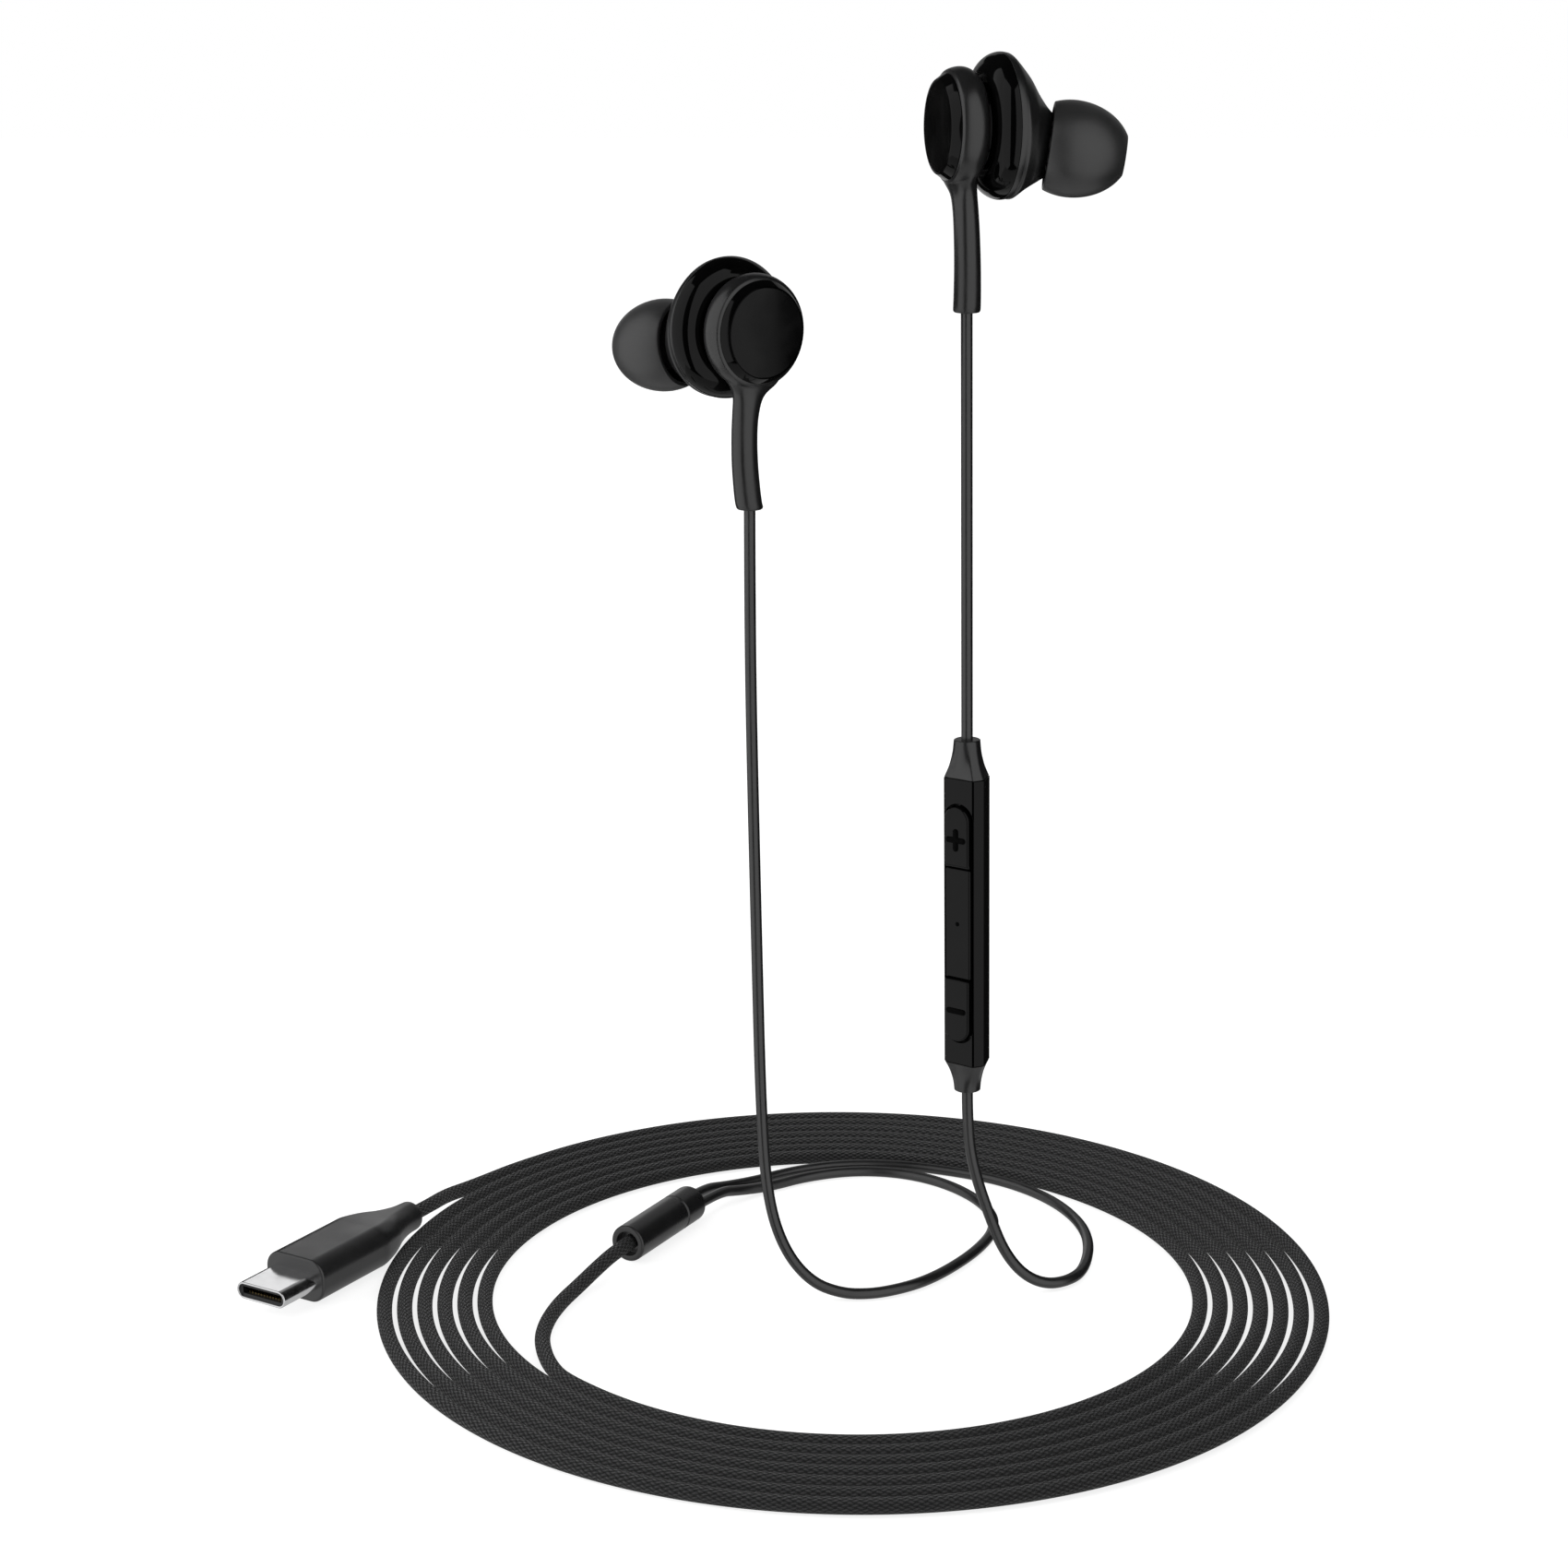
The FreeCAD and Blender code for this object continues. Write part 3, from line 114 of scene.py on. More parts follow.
def new_material(name, color, roughness, specular=0.5, metallic=0.0, sheen=(0.0, 0.5)):
    material = bpy.data.materials.new(name)
    material.use_nodes = True
    shader = material.node_tree.nodes["Principled BSDF"]
    values = {"Base Color": color, "Roughness": roughness, "Specular IOR Level": specular, "Metallic": metallic,
              "Sheen Weight": sheen[0], "Sheen Roughness": sheen[1]}
    for socket, value in values.items():
        shader.inputs[socket].default_value = value
    return material, shader


def add_node(owner, kind, **values):
    node = owner.node_tree.nodes.new(kind)
    for key, value in values.items():
        if key in node.inputs:
            node.inputs[key].default_value = value
        else:
            setattr(node, key, value)
    return node


def join(owner, source, target):
    owner.node_tree.links.new(source, target)


def object_noise(owner, cells, detail, roughness=0.5):
    """Noise in the piece's own space."""
    place = add_node(owner, "ShaderNodeTexCoord")
    noise = add_node(owner, "ShaderNodeTexNoise", Scale=cells, Detail=detail, Roughness=roughness)
    join(owner, place.outputs["Object"], noise.inputs["Vector"])
    return noise.outputs["Fac"]


def add_bump(owner, shader, height, strength, distance):
    bump = add_node(owner, "ShaderNodeBump", Strength=strength, Distance=distance)
    join(owner, height, bump.inputs["Height"])
    join(owner, bump.outputs["Normal"], shader.inputs["Normal"])


def ranged(owner, value, low, high, start=0.3, end=0.7):
    """A number that goes from low to high while the value goes from start to end."""
    node = add_node(owner, "ShaderNodeMapRange",
                    **{"From Min": start, "From Max": end, "To Min": low, "To Max": high})
    join(owner, value, node.inputs["Value"])
    return node.outputs["Result"]


def vary_color(owner, shader, value, low, high, start=0.3, end=0.7):
    ramp = add_node(owner, "ShaderNodeValToRGB")
    for stop, position, color in zip(ramp.color_ramp.elements, (start, end), (low, high)):
        stop.position = position
        stop.color = color
    join(owner, value, ramp.inputs["Fac"])
    join(owner, ramp.outputs["Color"], shader.inputs["Base Color"])


def math_node(owner, operation, first, second=None):
    node = add_node(owner, "ShaderNodeMath", operation=operation)
    for socket, value in zip(node.inputs, (first, second)):
        if isinstance(value, (int, float)):
            socket.default_value = value
        elif value is not None:
            join(owner, value, socket)
    return node.outputs[0]


def grey(value):
    return (value, value, value * COOL, 1)


def cloudy(name, color, roughness, tones, roughs, specular, clouds, relief=None, sheen=(0.0, 0.5), metallic=0.0):
    """Material that drifts between two colours and two roughnesses, with a fine relief.

    clouds holds a noise's cells and detail, and relief a noise's cells, detail and roughness and the
    bump's strength and depth.
    """
    material, shader = new_material(name, color, roughness, specular, metallic, sheen)
    cloud = object_noise(material, *clouds)
    if roughs:
        join(material, ranged(material, cloud, *roughs), shader.inputs["Roughness"])
    vary_color(material, shader, cloud, *tones)
    if relief:
        add_bump(material, shader, object_noise(material, *relief[:3]), *relief[3:])
    return material


def satin_black(name, tone, roughness, grain, depth, specular=1.0):
    """Moulded plastic with a fine spark-eroded grain."""
    tones = [grey(tone * share) for share in SATIN_TONES]
    roughs = [roughness + more for more in SATIN_ROUGHER]
    return cloudy(name, grey(tone), roughness, tones, roughs, specular, SATIN_CLOUDS,
                  (grain, 2, 0.6, 0.35, depth))


def metal(name, color, low, high, cells):
    tones = [tuple(c * share for c in color) + (1,) for share in METAL_TONES]
    return cloudy(name, tones[1], low, tones, (low, high), 0.5, (cells, 4), metallic=1.0)


def braid(name):
    """Two sets of yarns that cross over and under each other, from the cord's own length and turn, with painted
    shade in the gaps between them.
    """
    material, shader = new_material(name, grey(0.02), 0.5, 0.6, sheen=(0.05, 0.4))
    length = add_node(material, "ShaderNodeAttribute", attribute_name="cord_length").outputs["Fac"]
    turn = add_node(material, "ShaderNodeAttribute", attribute_name="cord_turn").outputs["Fac"]
    lay = math_node(material, "DIVIDE", length, BRAID_LAY)
    waves = []
    for operation in ("ADD", "SUBTRACT"):
        yarns = math_node(material, "MULTIPLY", math_node(material, operation, lay, turn), BRAID_CARRIERS / 2)
        waves.append(math_node(material, "SINE", math_node(material, "MULTIPLY", yarns, math.pi)))
    crossing = math_node(material, "MULTIPLY", *waves)
    lift = math_node(material, "MULTIPLY", crossing, BRAID_CROSSING)
    first = math_node(material, "ADD", math_node(material, "ABSOLUTE", waves[0]), lift)
    second = math_node(material, "SUBTRACT", math_node(material, "ABSOLUTE", waves[1]), lift)
    height = math_node(material, "MAXIMUM", first, second)
    share = math_node(material, "DIVIDE", height, 1 + BRAID_CROSSING)
    # The colour runs from near black in the gaps to lighter on the yarn tops: painted shade in the weave's
    # crevices
    vary_color(material, shader, share, grey(0.0005), grey(0.036), 0.3, 0.95)
    join(material, ranged(material, share, 0.8, 0.42, 0.35, 0.9), shader.inputs["Roughness"])
    add_bump(material, shader, height, 1.0, BRAID_RELIEF)
    return material


# Polished plastic has a faint haze from handling and the ripple of the moulding
CLOUDY = {
    "gloss_black": (grey(0.0015), 0.06, (grey(0.0012), grey(0.0018)), (0.05, 0.1), 0.23, (260, 2),
                    (90, 1, 0.5, 0.02, 0.0004)),
    "silicone_black": (grey(0.013), 0.42, (grey(0.011), grey(0.015)), (0.38, 0.47), 1.0, (220, 3),
                       (9000, 2, 0.5, 0.2, 0.00001), (0.04, 0.5)),
    "cord_black": (grey(0.009), 0.32, (grey(0.007), grey(0.011)), (0.28, 0.36), 1.0, (240, 3),
                   (7000, 2, 0.5, 0.25, 0.00002)),
    "board_green": ((0.02, 0.13, 0.05, 1), 0.35, ((0.015, 0.1, 0.04, 1), (0.025, 0.16, 0.06, 1)), None, 0.5,
                    (900, 2)),
}
SATIN = {
    "matte_black": (0.008, 0.30, 6000, 0.00002, 0.87),
    "grip_black": (0.011, 0.34, 6500, 0.00002),
    # Painted shade: the raised signs are the buttons' own gloss black, made darker here and almost without
    # reflection so that they read dark
    "sign_black": (0.0008, 0.55, 6000, 0.00001, 0.05),
    "insulator_black": (0.010, 0.45, 4000, 0.00001, 0.5),
    "core_plastic": (0.06, 0.5, 3000, 0.00002, 0.5),
    "diaphragm_film": (0.3, 0.3, 1500, 0.00002, 0.5),
}
METALS = {
    "mesh_steel": ((0.25, 0.25, 0.26), 0.3, 0.4, 2000),
    "plug_steel": ((0.93, 0.93, 0.94), 0.14, 0.22, 700),
    "switch_steel": ((0.6, 0.6, 0.6), 0.25, 0.4, 900),
    "magnet_nickel": ((0.66, 0.65, 0.62), 0.2, 0.3, 600),
    "driver_brass": ((0.7, 0.5, 0.25), 0.3, 0.4, 600),
    "copper_wire": ((0.72, 0.38, 0.2), 0.3, 0.45, 4000),
    "contact_gold": ((0.9, 0.66, 0.28), 0.15, 0.25, 2000),
}
MATERIALS = {"braid_black": braid("braid_black")}
for make, rows in ((cloudy, CLOUDY), (satin_black, SATIN), (metal, METALS)):
    MATERIALS.update({slot: make(slot, *row) for slot, row in rows.items()})
SLOT_OF = {row["node"]: row["material_slot"] for row in frame["record"]["subparts"]}
for node, solid in frame["nodes"].items():
    solid.data.materials.clear()
    solid.data.materials.append(MATERIALS[SLOT_OF[node]])


# Mesh helpers. Pieces are modelled in millimetres and put into the frame in metres.

SHARP = math.radians(38)
# Pieces with fewer faces get normals that keep flat faces flat beside their round edges
EVEN_LIMIT = 60000
MERGE = 1e-5
CORNER_LEAST = 24
CORNER_SHARE = 0.45
ROUND_SHARES = (0, 0.25, 0.5, 0.75, 1)
FACET_SHARES = (0, 1)
BEVEL_ANGLE = math.radians(40)
# Reach of cutting boxes, and of tubes past what they cut
FAR = 99
PAST = 1


def finish_mesh(name, bm, place, slot, body, nodes=(), sharp=SHARP, material=None):
    """Puts a mesh into the frame, shades it, ties it to its body and hides the CAD nodes it stands for."""
    bmesh.ops.remove_doubles(bm, verts=bm.verts, dist=MERGE)
    bmesh.ops.recalc_face_normals(bm, faces=bm.faces)
    bm.transform(Matrix.Scale(MM, 4) @ place)
    if place.determinant() < 0:
        bmesh.ops.reverse_faces(bm, faces=bm.faces)
    mesh = bpy.data.meshes.new(name)
    bm.to_mesh(mesh)
    bm.free()
    return finish_object(name, mesh, slot, body, nodes, sharp, material)


def finish_object(name, mesh, slot, body, nodes=(), sharp=SHARP, material=None):
    for polygon in mesh.polygons:
        polygon.use_smooth = True
    mesh.set_sharp_from_angle(angle=sharp)
    mesh.materials.append(MATERIALS[material or slot])
    obj = add_object(name, mesh)
    if len(mesh.polygons) < EVEN_LIMIT:
        obj.modifiers.new("even", "WEIGHTED_NORMAL").keep_sharp = True
    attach(obj, body)
    if nodes:
        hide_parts(*nodes)
    return obj


def placement(origin, along, side):
    """Matrix whose Z runs along the first direction and whose X is the second, squared to it."""
    z = along.normalized()
    x = (side - z * side.dot(z)).normalized()
    y = z.cross(x)
    return Matrix((
        (x.x, y.x, z.x, origin.x),
        (x.y, y.y, z.y, origin.y),
        (x.z, y.z, z.z, origin.z),
        (0, 0, 0, 1)))


def bow(a, b, c, steps=14):
    """Points of the arc from a through b to c, in a plane, without its first point."""
    a, b, c = complex(*a), complex(*b), complex(*c)
    ratio = (c - a) / (b - a)
    centre = a - (a - b) * (ratio - abs(ratio) ** 2) / (2j * ratio.imag)
    spoke = a - centre
    middle, sweep = (cmath.phase((p - centre) / spoke) % (2 * math.pi) for p in (b, c))
    if middle > sweep:
        sweep -= 2 * math.pi
    points = [centre + spoke * cmath.exp(1j * sweep * i / steps) for i in range(1, steps + 1)]
    return [(p.real, p.imag) for p in points]


def profile(start, steps, density=14):
    """Outline points. A step is one end point, or a middle and an end point of an arc."""
    points = [start]
    for step in steps:
        if len(step) == 2:
            points += bow(points[-1], step[0], step[1], density)
        else:
            points.append(step[0])
    return points


def round_corners(points, reach, closed=True, shares=ROUND_SHARES):
    """Replaces each corner sharper than the least angle by a small round edge, or by a facet."""
    pts = [Vector(p) for p in points]
    if closed and (pts[0] - pts[-1]).length < 1e-6:
        pts.pop()
    out = []
    for i, here in enumerate(pts):
        a, b = here - pts[i - 1], pts[(i + 1) % len(pts)] - here
        end = not closed and i in (0, len(pts) - 1)
        if end or min(a.length, b.length) < 1e-9 or math.degrees(a.angle(b)) < CORNER_LEAST:
            out.append(here)
            continue
        back = here - a.normalized() * min(reach, a.length * CORNER_SHARE)
        ahead = here + b.normalized() * min(reach, b.length * CORNER_SHARE)
        out += [back * (1 - s) ** 2 + here * 2 * s * (1 - s) + ahead * s**2 for s in shares]
    return [tuple(p) for p in out]


def around(count):
    """Angles evenly round a circle."""
    return [2 * math.pi * i / count for i in range(count)]


def quarter(steps):
    """Angles from zero to a right angle."""
    return [math.pi / 2 * i / steps for i in range(steps + 1)]


def lathe(points, closed=True, segments=96):
    """Solid of revolution about Z from (radius, height) points."""
    bm = bmesh.new()
    rings = []
    for r, z in points:
        angles = around(segments) if r > 1e-6 else [0]
        rings.append([bm.verts.new((r * math.cos(a), r * math.sin(a), z)) for a in angles])
    for a, b in zip(rings, rings[1:] + rings[:closed]):
        skin(bm, a, b)
    return bm


def skin(bm, a, b):
    """Faces between two rings of vertices, either of which may be a single point."""
    count = max(len(a), len(b))
    if len(a) == 1 and len(b) == 1:
        return
    for i in range(count):
        j = (i + 1) % count
        if len(a) == 1:
            bm.faces.new((a[0], b[j], b[i]))
        elif len(b) == 1:
            bm.faces.new((a[i], a[j], b[0]))
        else:
            bm.faces.new((a[i], a[j], b[j], b[i]))


def loft(rings, closed=False):
    """Skin through rings of points, with a face at each end or closed from the last ring to the first."""
    bm = bmesh.new()
    made = [[bm.verts.new(p) for p in ring] for ring in rings]
    for a, b in zip(made, made[1:] + made[:closed]):
        skin(bm, a, b)
    if not closed:
        bm.faces.new(list(reversed(made[0])))
        bm.faces.new(made[-1])
    return bm


def box(low, high):
    (ax, ay, az), (bx, by, bz) = low, high
    return loft([[(ax, ay, z), (bx, ay, z), (bx, by, z), (ax, by, z)] for z in (az, bz)])


def mesh_object(bm):
    bmesh.ops.recalc_face_normals(bm, faces=bm.faces)
    mesh = bpy.data.meshes.new("part")
    bm.to_mesh(mesh)
    bm.free()
    return add_object("part", mesh)


def settle(obj):
    """The object's mesh with its modifiers applied, as a bmesh. The object and its helpers are removed."""
    graph = bpy.context.evaluated_depsgraph_get()
    graph.update()
    mesh = bpy.data.meshes.new_from_object(obj.evaluated_get(graph))
    helpers = {m.object for m in obj.modifiers if m.type == "BOOLEAN"}
    bm = bmesh.new()
    bm.from_mesh(mesh)
    bpy.data.meshes.remove(mesh)
    for o in helpers | {obj}:
        bpy.data.objects.remove(o)
    return bm


def absorb(bm, other):
    """Adds another bmesh's faces, and frees it."""
    mesh = bpy.data.meshes.new("other")
    other.to_mesh(mesh)
    other.free()
    bm.from_mesh(mesh)
    bpy.data.meshes.remove(mesh)


def cut(obj, tool, operation="DIFFERENCE"):
    """Cuts a bmesh out of the object, or adds it, or keeps what is in both."""
    modifier = obj.modifiers.new("cut", "BOOLEAN")
    modifier.operation = operation
    modifier.object = mesh_object(tool)
    modifier.solver = "EXACT"


def add_bevel(obj, width, segments):
    modifier = obj.modifiers.new("edge", "BEVEL")
    modifier.width = width
    modifier.segments = segments
    modifier.limit_method = "ANGLE"
    modifier.angle_limit = BEVEL_ANGLE


# Sizes of the earbuds, from the face towards the ear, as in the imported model

FACE_R = 5.75
FACE_THICKNESS = 0.8
FACE_EDGE = 0.12
FACE_FIT = 0.03
BEVEL_R = 6.5
BEVEL_U = 1.05
BEZEL_LEDGE = 0.7
BEZEL_LIP_R = 6.2
BEZEL_LIP_DEPTH = 0.8
RING_R = 7.25
RING_TO_PEAK = 1.75
PEAK_TO_REAR = 2.06
RING_REAR_R = 5.95
RING_WALL = 0.85
RING_SHOULDER_R = 6.85
RING_SHOULDER = 0.15
RING_SEAM = 0.05
RING_RELIEF = 0.3
NECK_R = 5.24
NECK_WALL = 0.85
NECK_GAP = 0.47
NECK_FIT = 0.03
SHELL_REAR_R = 5.98
SHELL_R = 8.97
SHELL_RISE = 2.55
SHELL_FALL = 0.91
SHELL_JOIN_STEP = 0.14
SHELL_WALL = 0.9
CONE_LENGTH = 4.23
CONE_FORWARD = 3.31
CONE_DROP = 2.25
CONE_NECK_R = 4.07
NOZZLE_DOWN = 7.43
NOZZLE_FORWARD = 17.48
NOZZLE_R = 2.05
NOZZLE_LENGTH = 6.2
NOZZLE_BORE_R = 1.5
NOZZLE_ROOT = 0.6
RIDGE_R = 2.25
RIDGE_FROM_END = 0.7
RIDGE_WIDTH = 0.35
RIDGE_SLOPE = 0.3
MESH_R = 1.78
MESH_THICKNESS = 0.15
TIP_FIT = 0.06
TIP_GAP = 0.215
TIP_RIM_R = 5.37
TIP_R = 5.9
TIP_PEAK = 2.82
TIP_LENGTH = 9.48
TIP_LIP = 0.15
TIP_FOLD = 0.35
TIP_CORE_WALL = 0.75
TIP_CORE_START = 0.1
TIP_SKIRT = 0.55
TIP_CROWN = 1.2
STEM_SECTIONS = [
    (3.74, 2.90, 0.00, 2.15, 5.60),
    (5.24, 2.90, -0.09, 2.06, 4.68),
    (6.73, 3.09, 0.15, 1.87, 3.52),
    (8.23, 3.37, -0.38, 1.64, 2.20),
    (10.29, 3.55, -0.69, 1.61, 1.79),
    (13.09, 3.71, -0.79, 1.64, 1.68),
    (16.83, 3.93, -0.56, 1.68, 1.70),
    (20.57, 4.13, -0.05, 1.73, 1.73),
    (22.81, 4.25, 0.42, 1.75, 1.75),
]
STEM_TRIM_R = 6.3
STEM_EDGE = 0.35
RIGHT_TURN = 15.0
LEFT_TURN = -52.0
LEFT_ACROSS = 20.93
LEFT_BELOW = 25.19
SHELL_JOIN_R = SHELL_R - SHELL_JOIN_STEP
RING_FRONT_U = BEVEL_U + RING_SEAM
RING_PEAK_U = BEVEL_U + RING_TO_PEAK
RING_REAR_U = RING_PEAK_U + PEAK_TO_REAR
SHELL_REAR_U = RING_REAR_U + NECK_GAP
SHELL_PEAK_U = SHELL_REAR_U + SHELL_RISE
JOIN_U = SHELL_PEAK_U + SHELL_FALL
TIP_BORE_R = RIDGE_R + TIP_FIT
ALONG_BUD = placement(V(0, 0, 0), V(1, 0, 0), V(0, 0, -1))


def nozzle_axis():
    down = math.radians(NOZZLE_DOWN)
    forward = math.radians(NOZZLE_FORWARD)
    return V(math.cos(down) * math.cos(forward), -math.cos(down) * math.sin(forward), -math.sin(down))


def cone_neck():
    return V(JOIN_U + CONE_LENGTH, -CONE_FORWARD, -CONE_DROP)


def nozzle_place():
    return placement(cone_neck(), nozzle_axis(), V(0, 0, -1))


def tip_place():
    return placement(cone_neck() + nozzle_axis() * TIP_GAP, nozzle_axis(), V(0, 0, -1))


def bud_places():
    """Matrices of the right and left buds. The left one is mirrored."""
    right_turn = Matrix.Rotation(math.radians(RIGHT_TURN), 4, "Z")
    left_turn = Matrix.Rotation(math.radians(LEFT_TURN), 4, "Z")
    mouth = cone_neck() + nozzle_axis() * (TIP_GAP + TIP_LENGTH)
    right_at = right_turn @ mouth * -1
    mirror = Matrix.Scale(-1, 4, V(1, 0, 0))
    right = Matrix.Translation(right_at) @ right_turn
    left = Matrix.Translation(right_at - V(LEFT_ACROSS, 0, LEFT_BELOW)) @ left_turn @ mirror
    return {"right": right, "left": left}


# Routes of the cords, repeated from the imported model

SURFACE_Z = -151.21
THIN_D = 1.5
BRAID_D = 2.04
STEM_RUN = 12.0
REMOTE_RUN = 6.0
SPLITTER_RUN = 3.0
PLUG_RUN = 4.1
COIL_RUN = 3.6
REMOTE_BELOW_STEM = 54.83
REMOTE_LEAN = V(0.0154, -0.0027, -0.9999).normalized()
REMOTE_TURN = -38.0
TOP_CAP = 5.05
REMOTE_BODY = 38.8
BOTTOM_CAP = 4.12
REMOTE_CORD_DEPTH = 2.0
REMOTE_LENGTH = TOP_CAP + REMOTE_BODY + BOTTOM_CAP
SPLITTER_AT = (-63.58, 11.8)
SPLITTER_TURN = 61.0
SPLITTER_R = 2.595
SPLITTER_LENGTH = 12.5
RECESS_DEPTH = 1.5
CORE_END_WALL = 1.2
SLIDER_LENGTH = 5.0
SLIDER_TRAVEL = 4.0
SLIDER_CLEAR = 1.0
THIN_SPACING = 2.5
PLUG_AT = (-111.37, -6.59)
PLUG_TURN = 58.7
PLUG_SHELL_OUT = 7.0
GRIP_HALF_HEIGHT = 3.05
GRIP_STRAIGHT = 13.0
GRIP_TAPER = 12.6
GRIP_END = PLUG_SHELL_OUT + GRIP_STRAIGHT + GRIP_TAPER
COIL_AT = (-33.33, 0.99)
COIL_START_R = 46.28
COIL_PITCH = 2.665
COIL_START_TURN = -134.0
COIL_HALF_TURNS = 13
COIL_LAST_TURN = 87.0

LEFT_ROUTE = [
    V(-46.10, 2.70, -72.0), V(-45.50, 1.35, -100.0), V(-44.90, 0.10, -126.0), V(-43.95, -0.45, -137.6),
    V(-41.70, -0.80, -144.4), V(-38.20, -1.00, -148.7), V(-34.20, -1.05, -150.30), V(-30.40, -0.95, -150.46),
    V(-26.70, 0.50, -150.46), V(-22.90, 3.10, -150.46), V(-19.00, 7.60, -150.46), V(-14.90, 14.00, -150.46),
    V(-12.20, 20.60, -150.46), V(-11.90, 27.00, -150.46), V(-14.20, 33.40, -150.46), V(-18.60, 39.20, -150.46),
    V(-24.40, 42.90, -150.46), V(-31.40, 43.80, -150.46), V(-38.40, 41.50, -150.46), V(-44.20, 37.40, -150.46),
    V(-48.30, 34.60, -149.90),
]
RIGHT_ROUTE = [
    V(-16.30, 1.42, -134.0), V(-14.05, 1.41, -140.6), V(-12.20, 1.40, -145.2), V(-9.60, 1.40, -148.6),
    V(-6.40, 1.75, -150.25), V(-3.00, 3.60, -150.46), V(-0.60, 7.40, -150.46), V(1.00, 16.50, -150.46),
    V(0.20, 24.60, -150.46), V(-3.20, 32.80, -150.46), V(-9.30, 39.60, -150.46), V(-16.90, 43.60, -150.46),
    V(-25.00, 46.15, -150.46), V(-33.20, 46.30, -150.46), V(-40.40, 43.70, -150.46), V(-46.20, 39.70, -150.46),
    V(-50.40, 36.30, -149.90),
]
LEAD_ROUTE = [
    V(-67.30, 5.30, -149.30), V(-69.60, 0.90, -150.05), V(-71.70, -4.20, -150.19), V(-73.00, -9.60, -150.19),
    V(-73.45, -14.90, -150.19), V(-72.85, -19.60, -150.19), V(-71.60, -24.20, -150.19),
]
TAIL_ROUTE = [V(-84.90, 39.90, -150.19), V(-88.10, 35.40, -149.90), V(-90.70, 30.60, -149.10)]


def level_place(at, turn, height):
    """Matrix of a piece that lies on the surface, with its Z along a heading."""
    return placement(V(at[0], at[1], SURFACE_Z + height), heading(turn), heading(turn + 90))


BUDS = bud_places()
SPLITTER_PLACE = level_place(SPLITTER_AT, SPLITTER_TURN, SPLITTER_R)
PLUG_PLACE = level_place(PLUG_AT, PLUG_TURN, GRIP_HALF_HEIGHT)


def stem_end(side):
    depth, along, back = STEM_SECTIONS[-1][:3]
    return BUDS[side] @ V(along, back, -depth)


# Points round each half turn of the coil, and how far the spline lies inside its control points
COIL_STEPS = 14
SPLINE_INSET = 0.75 + 0.25 * math.cos(math.pi / COIL_STEPS)


def coil_points():
    """Control points of half turns about two centres half a pitch apart, with the run at each end."""
    middle = V(COIL_AT[0], COIL_AT[1], SURFACE_Z + BRAID_D / 2)
    spread = heading(COIL_START_TURN) * (COIL_PITCH / 4)
    turn = COIL_START_TURN
    radius = COIL_START_R + COIL_PITCH / 4
    start = middle - spread + heading(turn) * radius
    points = [start - heading(turn + 90) * (BRAID_D + COIL_RUN)]
    for i in range(COIL_HALF_TURNS + 1):
        centre = middle - spread if i % 2 == 0 else middle + spread
        swing = 180 if i < COIL_HALF_TURNS else COIL_LAST_TURN
        steps = round(COIL_STEPS * swing / 180)
        for step in range(steps):
            points.append(centre + heading(turn + swing * (step + 0.5) / steps) * (radius / SPLINE_INSET))
        turn += swing
        end = centre + heading(turn) * radius
        radius += COIL_PITCH / 2
    points.append(end + heading(turn + 90) * (BRAID_D + COIL_RUN))
    return points


def spline_curve(name, points, resolution=8):
    """Smooth open NURBS curve whose control points are a cord's route."""
    data = bpy.data.curves.new(name, "CURVE")
    data.dimensions = "3D"
    spline = data.splines.new("NURBS")
    spline.points.add(len(points) - 1)
    for target, point in zip(spline.points, points):
        target.co = (*(point * MM), 1)
    spline.order_u = 3
    spline.use_endpoint_u = True
    data.resolution_u = resolution
    return add_object(name, data)


def spline_points(obj):
    """The curve's own points in metres, in order along it."""
    mesh = bpy.data.meshes.new_from_object(obj)
    points = [v.co.copy() for v in mesh.vertices]
    bpy.data.meshes.remove(mesh)
    return points


def path_length(points):
    return sum((b - a).length for a, b in zip(points, points[1:]))


CORD_BEVEL_STEPS = 5
MAIN_RESOLUTION = 10
BRAID_SIDES = 28
BRAID_RING_STEP = 0.0006
BRAID_SHARP = math.radians(60)


def thin_cord(name, points, node):
    curve = spline_curve(name, points)
    length = path_length(spline_points(curve))
    curve.data.bevel_depth = THIN_D / 2 * MM
    curve.data.bevel_resolution = CORD_BEVEL_STEPS
    curve.data.use_fill_caps = True
    curve.data.materials.append(MATERIALS["cord_black"])
    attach(curve, "root")
    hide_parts(node)


def evenly(points, step):
    """Points a fixed step apart along a line."""
    out = [points[0]]
    carried = 0.0
    for a, b in zip(points, points[1:]):
        span = (b - a).length
        at = step - carried
        while at < span:
            out.append(a.lerp(b, at / span))
            at += step
        carried = span - (at - step)
    out.append(points[-1])
    return out


